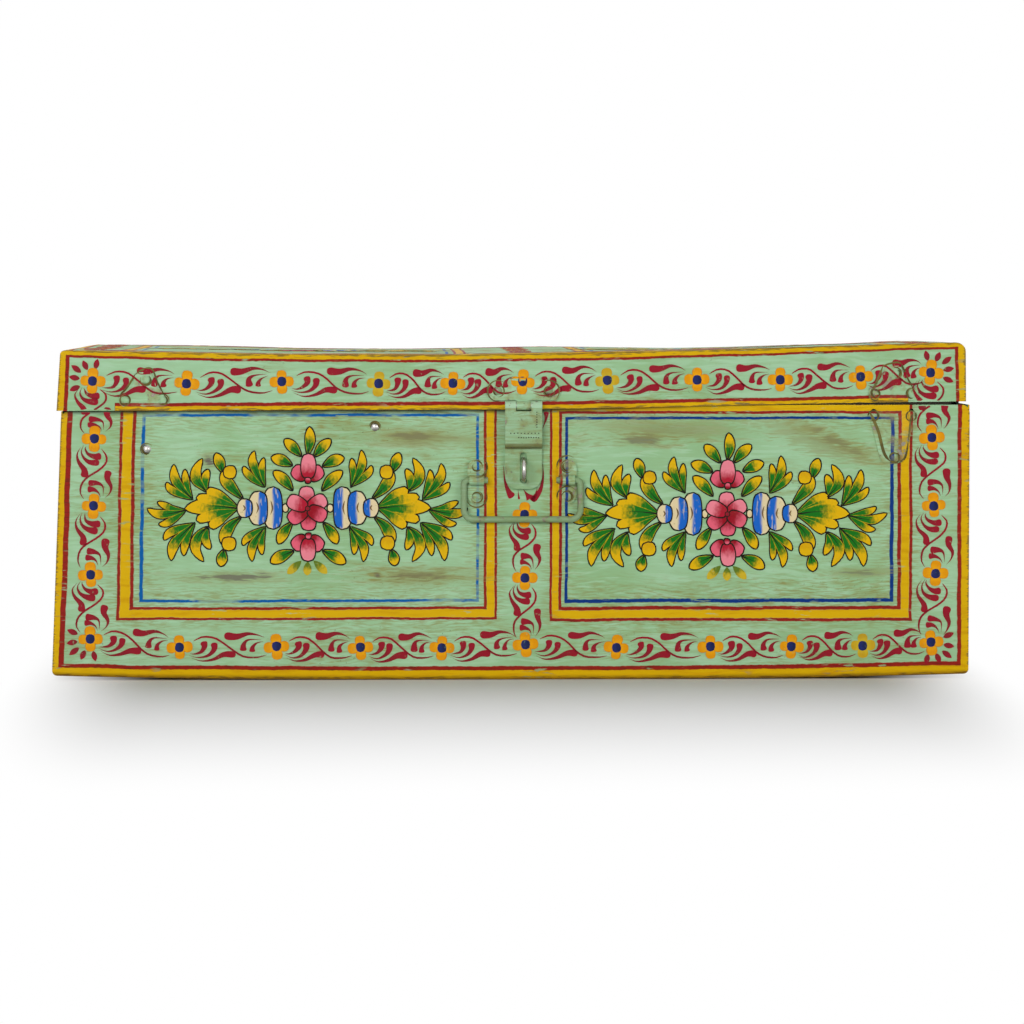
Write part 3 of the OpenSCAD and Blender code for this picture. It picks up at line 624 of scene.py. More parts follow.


# %% [markdown]
# Hinges, hasp, handle and old clasps were painted over together with the trunk. Their paint is the same
# mint, but thicker, dirtier and chipped down to grey tin. On the hasp, painted shade darkens the curl of
# the strap and a painted highlight lightens its rolled knuckle. The staple was left bare and is polished
# by the padlock.

# %% Fittings
def painted_fitting(name, chips, grime=1.5, edges=(), frames=(), shade_and_highlight_from=None, dull=0.0):
    """Mint overpaint with dirt and chips, and the bands that run across it. From a given height, painted
    shade may darken a band 3 mm tall where the hasp's strap curls under, and a painted highlight lightens
    the paint from 21 mm above that height, on its rolled knuckle; or the whole fitting may be dulled."""
    paint = new_paint(name, 0.25)
    ground, streak, fine_streak, place = mint_ground(paint, grime)
    x, y, z = paint.millimetres(place)
    climb = paint.ramp(x, SEAM_FROM * half, SEAM_TO * half) * SEAM_CLIMB
    climb = climb - paint.ramp(0 - x, 0, half) * SEAM_DROP
    ground = lay_bands(paint, ground, place, (x, y, z - climb), edges, frames, (streak, fine_streak))
    patch = paint.noise(place, 160, 4)
    fine_grain = paint.noise(place, 520, 3)
    ground = paint.mix(ground, WASH, paint.ramp(patch, 0.46, 0.66) * 0.6)
    ground = paint.mix(ground, DULL_GREEN, dull)
    ground = paint.mix(ground, DIRT, paint.ramp(fine_grain * 0.5 + patch * 0.5, 0.56, 0.66) * 0.6)
    # Painted shade in the curl under the hasp's strap, and a painted highlight on its rolled knuckle
    if shade_and_highlight_from:
        curl_shade = paint.ramp(z, shade_and_highlight_from - 0.3, shade_and_highlight_from + 0.5)
        curl_shade = curl_shade * (1 - paint.ramp(z, shade_and_highlight_from + 2.4, shade_and_highlight_from + 3.4))
        ground = paint.mix(ground, CURL_SHADE_BROWN, curl_shade * (patch * 0.6 + 0.45))
        ground = paint.mix(ground, MINT_PALE, paint.ramp(z, shade_and_highlight_from + 20.4, shade_and_highlight_from + 21.2) * 0.8)
    chip = paint.ramp(patch * 0.6 + fine_grain * 0.4, 0.60 - chips, 0.63 - chips)
    ground = paint.mix(ground, BARE, chip)
    paint.set(Base_Color=ground, Metallic=chip * 0.6, Roughness=0.55 - chip * 0.12)
    height = fine_grain * 0.5 + patch * 0.5 - chip * 0.4
    paint.set(Normal=paint.bump(height, 0.6, 0.35 * MM))
    return paint.material


def bare_wire(name, dark, steel=BRIGHT_STEEL):
    """Worn steel with fine scratches, bright unless another colour is given."""
    paint = new_paint(name, 0.5)
    place = paint.place()
    scratch = paint.noise(paint.stretch(place, (900, 900, 90)), 1, 3)
    rust = paint.ramp(paint.noise(place, 240, 4), 0.55, 0.7) * dark
    ground = paint.mix(steel, RUST, rust)
    paint.set(Base_Color=ground, Metallic=1 - rust * 0.8, Roughness=scratch * 0.25 + rust * 0.3 + 0.14)
    paint.set(Normal=paint.bump(scratch, 0.15, 0.1 * MM))
    return paint.material


fitting_paint = painted_fitting("painted_fittings", 0.0)
banded_paint = painted_fitting("banded_fittings", 0.0, frames=both_panels)
hasp_paint = painted_fitting("painted_hasp", 0.0, 1.8, shade_and_highlight_from=116.4, dull=0.22)
clasp_paint = painted_fitting("clasp_fittings", 0.01, edges=[(lid_foot_distance, 2, 3.8)])
chipped_paint = painted_fitting("chipped_fittings", 0.04, dull=0.5)
# Painted shade: the lips inside the seam are made dark, so that the gap between lid and body reads dark
lip_shade_tin = bare_wire("dark_lip_tin", 0.8, LIP_SHADE_STEEL)
staple_steel = bare_wire("bare_wire", 0.3)
pin_steel = bare_wire("dark_pins", 0.9)
worn_steel = bare_wire("worn_rivets", 0.6)
FINISH = {
    "staple": staple_steel, "leftover_rivets": worn_steel, "hasp_strap": hasp_paint,
    "clasp_plate_body": banded_paint, "clasp_rivets_body": banded_paint,
    "handle_ear_left": banded_paint, "handle_ear_right": banded_paint, "handle_rivets": banded_paint,
    "clasp_plate_lid_left": clasp_paint, "clasp_plate_lid_right": clasp_paint,
    "clasp_rivets_lid": clasp_paint, "handle": chipped_paint, "hasp_rivets": chipped_paint,
}
for name, node in nodes.items():
    if name in FINISH:
        dress(node, FINISH[name])
    elif name.endswith("_pin"):
        dress(node, pin_steel)
    elif name.endswith("_lip"):
        dress(node, lip_shade_tin)
    elif name not in sheets:
        dress(node, fitting_paint)
print("fittings are painted")


# %% [markdown]
# The ornament is folk brushwork: every leaf, petal and scroll is one or two dabs of a round brush.
# A dab is a short curve whose radius swells and tapers. Extruded flat and turned by its tilt, the
# curve becomes a ribbon with its own UV map, so the paint can change colour along the dab. All
# dabs of one colour on one face make one curve, which is made a mesh, laid on the bent tin point
# by point and given a little thickness. Fills of one colour get slightly different heights, so that
# no two of them lie in one plane where they overlap.

# %% Brush dabs
painting = {}
chance = random.Random(11)
# In millimetres: the height from which a dab may cross the seam, its least radius, and how far an
# outline stands out; then the number of heights that fills take in turn and the step between them
NEAR_SEAM = 134
THINNEST = 0.04
OUTLINE = 0.6
FILL_LEVELS = 8
FILL_RISE = 0.11


def round_dab(t):
    return math.sqrt(max(0.0, 1 - (2 * t - 1) ** 2))


def comma_dab(t):
    cap = 0.12
    if t < cap:
        return math.sqrt(max(0.0, 1 - (1 - t / cap) ** 2))
    fall = (1 - t) / (1 - cap)
    return 0.6 * fall ** 1.9 + 0.4 * fall


def leaf_dab(t):
    return max(0.0, math.sin(math.pi * t ** 1.2)) ** 0.9


def lobe_dab(t):
    return min(1.0, 0.06 + 1.5 * t) * math.sqrt(max(0.0, 1 - t ** 6))


def line_dab(t):
    return min(1.0, 0.25 + 5 * t, 0.15 + 4 * (1 - t))


def smooth_path(points, shares):
    """Points along a smooth curve through the given ones, at these shares of its length."""
    ends = [points[0], *points, points[-1]]
    spans = len(points) - 1
    made = []
    for t in shares:
        k = min(spans - 1, int(t * spans))
        f = t * spans - k
        a, b, c, d = ends[k:k + 4]
        made.append([
            0.5 * (2 * b[n] + (c[n] - a[n]) * f + (2 * a[n] - 5 * b[n] + 4 * c[n] - d[n]) * f * f
                   + (3 * b[n] - a[n] - 3 * c[n] + d[n]) * f ** 3) for n in (0, 1)])
    return made


def split_at_seam(path, radii):
    """The parts of a dab that lie on the body and on the lid, without what falls in the seam."""
    def face_of(spot):
        (u, v), _ = spot
        if v * MM < RIM_Z + seam_shift(u * MM, False) - 0.3 * MM:
            return "front"
        return "lid_front" if v * MM > LID_Z + seam_shift(u * MM, True) + 0.4 * MM else None

    for face, run in itertools.groupby(zip(path, radii), face_of):
        spots = list(run)
        if face and len(spots) > 1:
            yield face, [spot for spot, _ in spots], [radius for _, radius in spots]


def dab(face, tint, points, width, shape, layer=0, count=12, grow=0.0):
    """Adds one dab, in millimetres on a face. It may be grown all round for an outline."""
    if grow:
        first, last = Vector(points[0]), Vector(points[-1])
        start = (first - Vector(points[1])).normalized() * grow
        finish = (last - Vector(points[-2])).normalized() * grow
        points = [tuple(first + start), *points[1:-1], tuple(last + finish)]
    crosses = face == "front" and max(v for _, v in points) > NEAR_SEAM
    count = count * 3 if crosses else count
    crowd = 1.6 if shape is comma_dab else 1.0
    shares = [(i / count) ** crowd for i in range(count + 1)]
    path = smooth_path(points, shares)
    radii = [max(THINNEST, shape(share) * width / 2 + grow) for share in shares]
    if grow:
        radii[0] = radii[-1] = min(radii[0], 0.3)
    for part, spots, sizes in split_at_seam(path, radii) if crosses else [(face, path, radii)]:
        painting.setdefault((part, tint), []).append((spots, sizes, layer))


def framed(face, tint, points, width, shape, layer=2, count=12, line=OUTLINE):
    """A dab with a black outline under it."""
    above = len(painting.get((face, tint), ())) % FILL_LEVELS * FILL_RISE
    dab(face, "outline", points, width, shape, layer - 1, count, line)
    dab(face, tint, points, width, shape, layer + above, count)


print("dab shapes:", [f.__name__ for f in (round_dab, comma_dab, leaf_dab, lobe_dab, line_dab)])

# %% [markdown]
# The border is one scroll, repeated from flower to flower: a thin S-shaped stem with comma dabs
# springing from it. It is drawn once along a line from (0, 0) to the next flower, and turned and
# stretched into each gap. The flowers have four round petals and a dark eye.

# %% Border scroll and flowers
SCROLL_PITCH = 49.0
SCROLL_STEM = [(7.3, 2.9), (11.9, 5), (17.7, 4.6), (22.7, 1.7), (27.7, -2.5), (32.7, -5), (39.4, -5.4),
               (44, -4.2)]
SCROLL_COMMAS = [
    ([(22.7, 5.8), (28.6, 5.4), (34.4, 6.9), (39.4, 6.3), (42.8, 4.6)], 3.4),
    ([(32.3, -2.1), (32.3, 1.3), (34.8, 3.5), (41.5, 3.8)], 3.0),
    ([(36.9, -2.5), (36.9, 0), (39, 2.1), (42.3, 2.9)], 2.6),
    ([(12.3, 2.9), (12.7, 0), (10.6, -2.5), (7.3, -3.5), (5.2, -3.3)], 3.0),
    ([(17.3, 2.1), (17.3, -1.3), (14.4, -4.2), (9.4, -5.4), (4.8, -4.2)], 3.0),
    ([(28.2, -3.8), (22.7, -3.8), (16.9, -6.3), (11, -7.1), (6, -5.4)], 3.2),
]


def scroll(face, start, end, side):
    """One scroll between two flowers, made wider or narrower by side."""
    run = Vector(end) - Vector(start)
    along = run / SCROLL_PITCH
    across = Vector((-run.y, run.x)).normalized() * side

    def put(points):
        return [tuple(Vector(start) + along * (a + chance.uniform(-0.25, 0.25))
                      + across * (b + chance.uniform(-0.25, 0.25))) for a, b in points]

    dab(face, "scroll", put(SCROLL_STEM), 1.0, line_dab, 0, 16)
    for points, width in SCROLL_COMMAS:
        dab(face, "scroll", put(points), width * chance.uniform(1.05, 1.25), comma_dab, 0, 16)


def flower(face, middle, tint):
    """A border flower with four round petals and a dark eye."""
    centre = Vector(middle)
    turn = chance.uniform(-0.12, 0.12)
    for i in range(4):
        way = Vector((math.cos(turn + i * math.pi / 2), math.sin(turn + i * math.pi / 2)))
        reach = chance.uniform(0.93, 1.07)
        points = [tuple(centre + way * (r * reach)) for r in (1.1, 3.7, 6.3)]
        dab(face, tint, points, 5.3 * reach, round_dab, 1 + i % 2, 10)
    points = [tuple(centre + Vector((r, chance.uniform(-0.3, 0.3)))) for r in (-2.3, 0, 2.3)]
    dab(face, "flower_eye", points, 4.9, round_dab, 3, 10)


def row(face, line, pale=(), side=1.0, flowers=None):
    """Scrolls from each place of a line to the next, with flowers at all places or at these."""
    for start, end in zip(line, line[1:]):
        scroll(face, start, end, side)
    for i, middle in enumerate(line if flowers is None else flowers):
        flower(face, middle, "petal_pale" if i in pale else "petal_orange")


def corner_fan(face, middle, right, up):
    """Drops that fan from a corner flower out to the corner."""
    for a, b in [(-9.2, -3.8), (-9.4, 1.7), (-8.4, 6.3), (-3.8, 8.2), (2.1, 8.8)]:
        way = Vector((a * right, b * up))
        points = [tuple(Vector(middle) + way * r) for r in (1.26, 1.0, 0.68)]
        dab(face, "scroll", points, 2.9, leaf_dab, 0, 10)


lid_row = [(-210.6, 150.8), (-163.5, 149.6), (-115.6, 150.4), (-66.9, 149.4), (-29.5, 149.4),
           (5.6, 150.2), (48.3, 150.8), (93.6, 151.5), (135.6, 151.3), (176.3, 152.7), (211.7, 154.9)]
foot_row = [(-212.4, 20.7), (-167.5, 16.5), (-118.6, 16.6), (-76.3, 16.1), (-35.2, 16.1), (7.1, 17.6),
            (53.1, 15.9), (100.7, 16.1), (141.7, 16.2), (177.9, 16.8), (212.6, 18.2)]
left_column = [(-209.8, 121.6), (-210.4, 87.8), (-212, 53.1)]
right_column = [(212.6, 121.9), (213.7, 87.7), (214.8, 53.4)]
middle_column = [(6.6, 83.2), (6.8, 51.4)]
row("lid_front", lid_row, pale=(3, 6))
row("front", foot_row, pale=(9,))
row("front", [lid_row[0], *left_column, foot_row[0]], side=1.25, flowers=left_column)
row("front", [lid_row[-1], *right_column, foot_row[-1]], side=1.25, flowers=right_column)
row("front", [*middle_column, foot_row[5]], side=1.1, flowers=middle_column)
corner_fan("lid_front", lid_row[0], 1, 1)
corner_fan("lid_front", lid_row[-1], -1, 1)
corner_fan("front", foot_row[0], 1, -1)
corner_fan("front", foot_row[-1], -1, -1)
# Strokes round the hasp
for points, width in [([(0.6, 92.0), (-1.6, 95.2), (-3.4, 100.5), (-4.1, 108)], 3.8),
                      ([(3.8, 91), (3.5, 93.5), (3.4, 96)], 1.2),
                      ([(9.4, 91.4), (7.9, 93.3), (6, 96)], 4.2),
                      ([(10.2, 90.2), (12, 93), (13, 97)], 3.0),
                      ([(10.4, 90), (14.5, 95.6), (16, 102.6), (15.8, 109)], 3.2),
                      ([(17.6, 135.2), (17.2, 131), (15.6, 126.5)], 2.6)]:
    dab("front", "scroll", points, width, comma_dab)
print("border:", {key: len(dabs) for key, dabs in painting.items()})

# %% [markdown]
# Each panel holds a bouquet: a six-petalled pink flower, two smaller blossoms above and below it,
# banded buds at its sides and leaves all round. One half is drawn and mirrored, with a little
# unevenness, as the painter did. Leaves, petals and buds have a fine black outline, and the leaves
# run from green at the stalk to yellow at the tip. The tables give ends, or paths, and widths.

# %% Bouquets
SIMPLE_LEAVES = [((-7.5, 9.1), (-17.1, 18.6), 5.2), ((-7.9, 21.3), (-17.9, 25.5), 5.4),
                 ((-3.6, 26.2), (-11.6, 34.4), 5.0), ((-8.2, -7.4), (-14.8, -17.8), 5.0),
                 ((-7.6, -21.5), (-18.7, -27.6), 5.6)]
LOBED_LEAVES = [((-58.1, 4.5), (-67.4, 21.8), 1), ((-21.7, 10.9), (-26.9, 28.6), 1),
                ((-57.2, -7.6), (-68.9, -26.2), -1), ((-21.5, -9.6), (-28, -26.5), -1),
                ((-61.4, -1), (-80.4, -0.3), 1)]
LOBES = [([(0, 0), (0.245, 0.2), (0.5, 0.36), (0.68, 0.38)], 0.18),
         ([(0, 0), (0.35, -0.05), (0.58, -0.11), (0.74, -0.19)], 0.165),
         ([(0, 0), (0.29, 0.08), (0.6, 0.13), (0.81, 0.1), (1, 0)], 0.225)]
CRESCENTS = [([(-50.7, 8.6), (-53.6, 11.2), (-56.1, 15), (-56, 19.6), (-53.2, 24.6)],
              [(-50.9, 9.4), (-51.7, 14.6), (-49.9, 19.6)]),
             ([(-50.5, -9.6), (-53.6, -12.2), (-56.4, -16.6), (-56.3, -21.4), (-52.9, -26.6)],
              [(-50.4, -10.4), (-51.5, -15.6), (-49.4, -20.6)])]
CURLS = [([(-32.7, 4.9), (-37.4, 9.2), (-41.4, 14.4), (-42.2, 19)], (-39.4, 18.2), 6.0,
          [(-43.0, 18.4), (-44.4, 23), (-45.9, 27.6)]),
         ([(-33.8, -4.4), (-38.4, -8.6), (-41.8, -14.1), (-42.2, -18.6)], (-39.9, -17.8), 6.6,
          [(-42.3, -21), (-43.2, -25), (-43.6, -29)])]
BUDS = [(-31.0, 7.2, 8.6, 8), (-24.3, 9.4, 16.6, 6), (-17.1, 9.6, 20.8, 4)]
BIG_LEAF_LOBES = [((-35.6, 0.6), (-50.6, 9.2), 5.4), ((-35.6, -0.4), (-49.4, -9.4), 5.4),
                  ((-36, 0.8), (-55.8, 5.4), 5.2), ((-36, -0.6), (-55.8, -6.2), 5.2),
                  ((-35.4, 0), (-61.4, 0), 8.0)]
FADED_LEAVES = [[(-3.2, -26.4), (-10.2, -33)], [(-0.2, -27), (-0.2, -34)], [(2.8, -26.4), (9.9, -33)]]
PINK_PETALS = [(-0.4, 6.6), (5.6, 3.1), (5.6, -2.9), (0.2, -6.9), (-5.7, -4.0), (-6.2, 2.7)]


def bouquet(face, centre, scale=1.0):
    """A whole bouquet about its centre."""
    def put(points, mirror=1, jitter=0.25):
        return [(centre[0] + scale * (mirror * a + chance.uniform(-jitter, jitter)),
                 centre[1] + scale * (b + chance.uniform(-jitter, jitter))) for a, b in points]

    def blob(tint, points, width, layer, mirror=1, jitter=0.25, count=12, line=OUTLINE):
        framed(face, tint, put(points, mirror, jitter), width * scale, round_dab, layer, count, line)

    def leaf(points, width, mirror, shape=leaf_dab, vein=True):
        if len(points) == 2:
            (ax, ay), (bx, by) = points
            bowed = ((ax + bx) / 2 + 0.04 * (by - ay), (ay + by) / 2 - 0.04 * (bx - ax))
            points = [(ax, ay), bowed, (bx, by)]
        placed = put(points, mirror)
        framed(face, "leaf", placed, width * scale, shape)
        if vein:
            half_way = smooth_path(placed, [0, 0.2, 0.4, 0.6])
            dab(face, "outline", half_way, 0.9 * scale, comma_dab, 3, 6)

    for mirror in (1, -1):
        for start, tip, width in SIMPLE_LEAVES:
            leaf([start, tip], width, mirror)
        for start, tip, side in LOBED_LEAVES:
            run = Vector(tip) - Vector(start)
            out = Vector((-run.y, run.x)) * side
            for lobe, width in LOBES:
                points = [tuple(Vector(start) + run * a + out * b) for a, b in lobe]
                leaf(points, width * run.length, mirror, leaf_dab, lobe is LOBES[-1][0])
        for points, lobe in CRESCENTS:
            leaf(lobe, 3.8, mirror, leaf_dab, False)
            leaf(points, 5.0, mirror)
        for points, (x, y), size, small in CURLS:
            leaf(small, 5.0, mirror)
            leaf(points, 5.6, mirror)
            blob("leaf_tip", [(x, y - size / 2), (x, y), (x, y + size / 2)], size, 4, mirror, count=10)
        for start, tip, width in BIG_LEAF_LOBES:
            leaf([start, tip], width, mirror, leaf_dab if tip[1] == 0 else lobe_dab, tip[1] == 0)
        for x, width, high, layer in BUDS:
            around = [(x, -high / 2), (x - 0.8, 0), (x, high / 2)][::mirror]
            blob("bud", around, width, layer, mirror, 0.15, 14)
            inner = put([(x - 1.6, -high * 0.16), (x - 0.6, 0), (x - 1.5, high * 0.18)], mirror, 0.1)
            dab(face, "bud_line", inner, 0.8 * scale, leaf_dab, layer + 1, 8)
        blob("cream", [(-11.3, -1.8), (-11.3, 0), (-11.3, 1.8)], 2.4, 4, mirror, 0.1, 8)
    leaf([(0.1, 27.2), (0.9, 40.6)], 4.8, 1)
    for ends in FADED_LEAVES:
        dab(face, "leaf_faded", put(ends), 4.2 * scale, leaf_dab, 1, 10)
    for side, reach in ((1, 1.0), (-1, 0.98)):
        for a in (-1, 1):
            blob("pink", [(0.6 * a, side * 15.4), (3.8 * a, side * 17.4), (7.6 * a, side * 19.8)], 7.4, 4)
        blob("pink_light", [(0.1, side * 15.2), (0.1, side * 21), (0.1, side * 27 * reach)], 7.2, 6)
        blob("pink", [(0.1, side * 12.6), (0.1, side * 14), (0.1, side * 15.4)], 2.5, 8, count=8)
    for i, (a, b) in enumerate(PINK_PETALS):
        points = [(0.06 * a, 0.06 * b), (a, b), (1.62 * a, 1.62 * b)]
        blob("pink_light" if b > 0 else "pink", points, 7.2, 4 + 2 * (i % 3), jitter=0.15)
    blob("scroll", [(-0.9, -0.2), (0, -0.2), (0.9, -0.2)], 1.9, 12, jitter=0.1, count=8, line=0.4)


bouquet("front", (-102.7, 86.7))
bouquet("front", (109.1, 83.6))
print("bouquets:", sum(len(dabs) for dabs in painting.values()), "dabs in all")

# %% [markdown]
# The top, the ends and the back are decorated with the same brush, more simply. Scroll borders
# run round the lid's top and along the ends and the back, and a bouquet fills each panel of the top
# and the middle of each end.

# %% Ornament of the other faces
def even_row(start, end, count):
    """Places of flowers along a line."""
    return [tuple(Vector(start) + (Vector(end) - Vector(start)) * i / count) for i in range(count + 1)]


TOP_ROW = 15
for y in (LID_Y / MM + TOP_ROW, BACK_Y / MM - TOP_ROW):
    row("top", even_row((-212, y), (212, y), 9))
for x in (-218, 6, 218):
    line = even_row((x * 0.972, BACK_Y / MM - TOP_ROW), (x * 0.972, LID_Y / MM + TOP_ROW), 5)
    row("top", line, side=0.8, flowers=line[1:-1])
bouquet("top", (-110, 0))
bouquet("top", (114, 0))
for face in ("left_end", "right_end"):
    row(face, even_row((-104, 17), (104, 17), 4))
    row(face, even_row((-104, 118), (104, 118), 4))
    bouquet(face, (0, 67), 0.92)
    row(face.replace("end", "lid_end"), even_row((-104, 150), (104, 150), 4))
row("back", even_row((-208, 18), (208, 18), 9))
row("lid_back", even_row((-208, 150), (208, 150), 9))
print("all faces:", sum(len(dabs) for dabs in painting.values()), "dabs")

# %% [markdown]
# Dirt gathers round the rivets and along the edges of the old clasp plates, as thin broken brown lines.
# The hasp has rows of small stamped dots, each drawn as a dark dab of painted shade for its pit. Both are
# drawn with the same brush.

# %% Dirt lines and the painted shade of stamped dots
def rivet_places(name):
    """The middle of every rivet of a node, seen from the front, in millimetres."""
    groups = []
    for vertex in nodes[name].data.vertices:
        spot = Vector((vertex.co.x, vertex.co.z)) / MM
        group = next((g for g in groups if (g[0] - spot).length < 5), None)
        if group:
            group.append(spot)
        else:
            groups.append([spot])
    return [((min(p.x for p in g) + max(p.x for p in g)) / 2,
             (min(p.y for p in g) + max(p.y for p in g)) / 2) for g in groups]


def ring(face, middle, across, width=0.8):
    """A thin broken dirt line part of the way round a rivet."""
    start = chance.uniform(0, 6)
    sweep = chance.uniform(2.4, 4.4)
    points = [(middle[0] + across / 2 * math.cos(start + i * sweep / 12),
               middle[1] + across / 2 * math.sin(start + i * sweep / 12)) for i in range(13)]
    dab(face, "grime", points, width, leaf_dab, 1, 24)


for name, face in (("clasp_rivets_lid", "lid_front"), ("hasp_rivets", "lid_front"),
                   ("clasp_rivets_body", "front"), ("leftover_rivets", "front"),
                   ("handle_rivets", "front")):
    for middle in rivet_places(name):
        ring(face, middle, 4.6)
        ring(face, middle, chance.uniform(5.4, 6.4), 0.7)
        if name in ("handle_rivets", "hasp_rivets"):
            ring(face, middle, 10.6)
# Face, path and width of each line along a plate
PLATE_LINES = [
    ("front", [(180.9, 135.0), (185.1, 125.9), (188.2, 114.6), (191.2, 110.2)], 1.5),
    ("front", [(191.2, 110.2), (194.8, 109.5), (198.9, 111.8), (200.5, 119.8)], 1.1),
    ("front", [(200.5, 119.8), (201.6, 130), (202.6, 134)], 0.8),
    ("lid_front", [(187.6, 158.3), (184, 149.1), (181.7, 145), (183, 142.4)], 1.1),
    ("lid_front", [(187.6, 158.3), (192, 159.6), (196.4, 159.4), (200, 152.2), (203.2, 146)], 0.9),
    ("lid_front", [(-189.4, 153.9), (-192.9, 148.1), (-197.6, 142.8)], 1.0),
    ("lid_front",
     [(-189.4, 153.9), (-185.4, 156.5), (-180.8, 156.8), (-177.9, 149.9), (-173.6, 142)], 0.9),
]
for face, points, width in PLATE_LINES:
    dab(face, "grime", points, width, line_dab, 1, 20)
hasp_low, hasp_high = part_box("hasp_strap")
hasp_middle = (hasp_low.x + hasp_high.x) / 2 / MM
# Dark dabs of painted shade for the pits of the stamped dots
for z, first, last in ((124.5, -6.5, 7.5), (122.3, -2.5, 7.5)):
    for i in range(9):
        x = hasp_middle + first + (last - first) * i / 8
        dab("hasp", "stamp", [(x - 0.32, z), (x, z + chance.uniform(-0.1, 0.1)), (x + 0.32, z)],
            0.62, round_dab, 0, 6)
x = hasp_middle + 6.6
for i in range(7):
    z = 127.6 + 1.25 * i
    dab("hasp", "stamp", [(x, z - 0.3), (x, z), (x, z + 0.3)], 0.6, round_dab, 0, 6)
print("dirt lines:", len(painting["front", "grime"]) + len(painting["lid_front", "grime"]))

# %% [markdown]
# Each face is a small rule that lays a point of the flat painting on the bent tin. Except on the
# flat back, a ray finds the surface, so that on the front paint runs over the plates and rivets as
# it does on the real trunk.

# %% Lay the paint on the tin
SKIN = 0.14 * MM
LAYER = 0.035 * MM
PAINT_T = 0.1 * MM
RAY_START = 60 * MM


def skin_of(pieces):
    """A search tree over the faces of some pieces."""
    corners, faces = [], []
    for piece in pieces:
        first = len(corners)
        corners += [vertex.co.copy() for vertex in piece.data.vertices]
        faces += [[first + i for i in polygon.vertices] for polygon in piece.data.polygons]
    return BVHTree.FromPolygons(corners, faces)


body_skin = skin_of([sheets["body_front"], *[nodes[name] for name in (
    "clasp_plate_body", "clasp_rivets_body", "handle_ear_left", "handle_ear_right", "handle_rivets",
    "leftover_rivets")]])
lid_skin = skin_of([sheets["lid_front"], *[nodes[name] for name in (
    "clasp_plate_lid_left", "clasp_plate_lid_right", "clasp_rivets_lid", "hasp_plate", "hasp_rivets")]])
hasp_skin = skin_of([nodes["hasp_strap"]])
wrap_skins = {False: skin_of([sheets["body_wrap"]]), True: skin_of([sheets["lid_wrap"]])}


def hit(skin, start, way):
    """Where a ray first meets a skin, or None."""
    return skin.ray_cast(Vector(start), Vector(way))[0]


def press(skin, u, v, lift, plane, depth=2 * MM):
    """Where paint lands that is pressed on from the front, or on the plane if it meets nothing less
    than depth behind it. Two rays beside the first one lift it where something near stands higher."""
    y = plane
    for beside in (0, 0.5 * MM, -0.5 * MM):
        spot = hit(skin, (u + beside, FRONT_Y - RAY_START, v + beside), (0, 1, 0))
        if spot and spot.y < plane + depth:
            y = min(y, spot.y) if beside else spot.y
    return Vector((u, y - lift, v))


def on_front(u, v, lift):
    z = min(v, RIM_Z + seam_shift(u, False) - 0.4 * MM)
    return press(body_skin, u, z, lift, FRONT_Y + front_wave(u, z, False))


def on_lid_front(u, v, lift):
    z = max(v, LID_Z + seam_shift(u, True) + 0.5 * MM)
    return press(lid_skin, u, z, lift, LID_Y + front_wave(u, z, True))


def on_hasp(u, v, lift):
    return press(hasp_skin, u, v, lift, FRONT_Y - 4 * MM)


def on_back(u, v, lift):
    return Vector((-u, BACK_Y + lift, v))


def on_top(u, v, lift):
    spot = hit(wrap_skins[True], (u, v, TOP_Z + RAY_START), (0, 0, -1))
    return (spot or Vector((u, v, lid_top(u)))) + Vector((0, 0, lift))


def on_end(side, on_lid):
    def lay(u, v, lift):
        spot = hit(wrap_skins[on_lid], (side * (BODY_HALF + RAY_START), side * u, v), (-side, 0, 0))
        return (spot or Vector((side * BODY_HALF, side * u, v))) + Vector((side * lift, 0, 0))
    return lay


FACES = {
    "front": (on_front, "trunk"), "lid_front": (on_lid_front, "lid"), "hasp": (on_hasp, "hasp"),
    "back": (on_back, "trunk"), "lid_back": (on_back, "lid"), "top": (on_top, "lid"),
    "left_end": (on_end(-1, False), "trunk"), "right_end": (on_end(1, False), "trunk"),
    "left_lid_end": (on_end(-1, True), "lid"), "right_lid_end": (on_end(1, True), "lid"),
}


def lay_paint(face, tint, dabs, material):
    """Makes the mesh of all dabs of one colour on one face."""
    lay, body = FACES[face]
    curve = bpy.data.curves.new(f"{face}_{tint}", "CURVE")
    curve.dimensions = "3D"
    curve.twist_mode = "Z_UP"
    curve.extrude = 1
    for path, radii, layer in dabs:
        spline = curve.splines.new("POLY")
        spline.points.add(len(path) - 1)
        for point, (u, v), radius in zip(spline.points, path, radii):
            point.co = (u, v, layer, 1)
            point.radius = radius
            point.tilt = math.pi / 2
    piece = bpy.data.objects.new(f"{face}_{tint}", curve)
    bpy.context.scene.collection.objects.link(piece)
    only(piece)
    bpy.ops.object.convert(target="MESH")
    if face in ("front", "lid_front"):
        bpy.ops.object.mode_set(mode="EDIT")
        bpy.ops.mesh.select_all(action="SELECT")
        bpy.ops.mesh.subdivide(number_cuts=1)
        bpy.ops.object.mode_set(mode="OBJECT")
    for vertex in piece.data.vertices:
        u, v, layer = vertex.co
        vertex.co = lay(u * MM, v * MM, SKIN + LAYER * layer)
    body_of_paint = piece.modifiers.new("Paint", "SOLIDIFY")
    body_of_paint.thickness = PAINT_T
    body_of_paint.offset = -1
    bpy.ops.object.modifier_apply(modifier=body_of_paint.name)
    bpy.ops.object.shade_flat()
    dress(piece, material)
    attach(piece, body)
    return piece


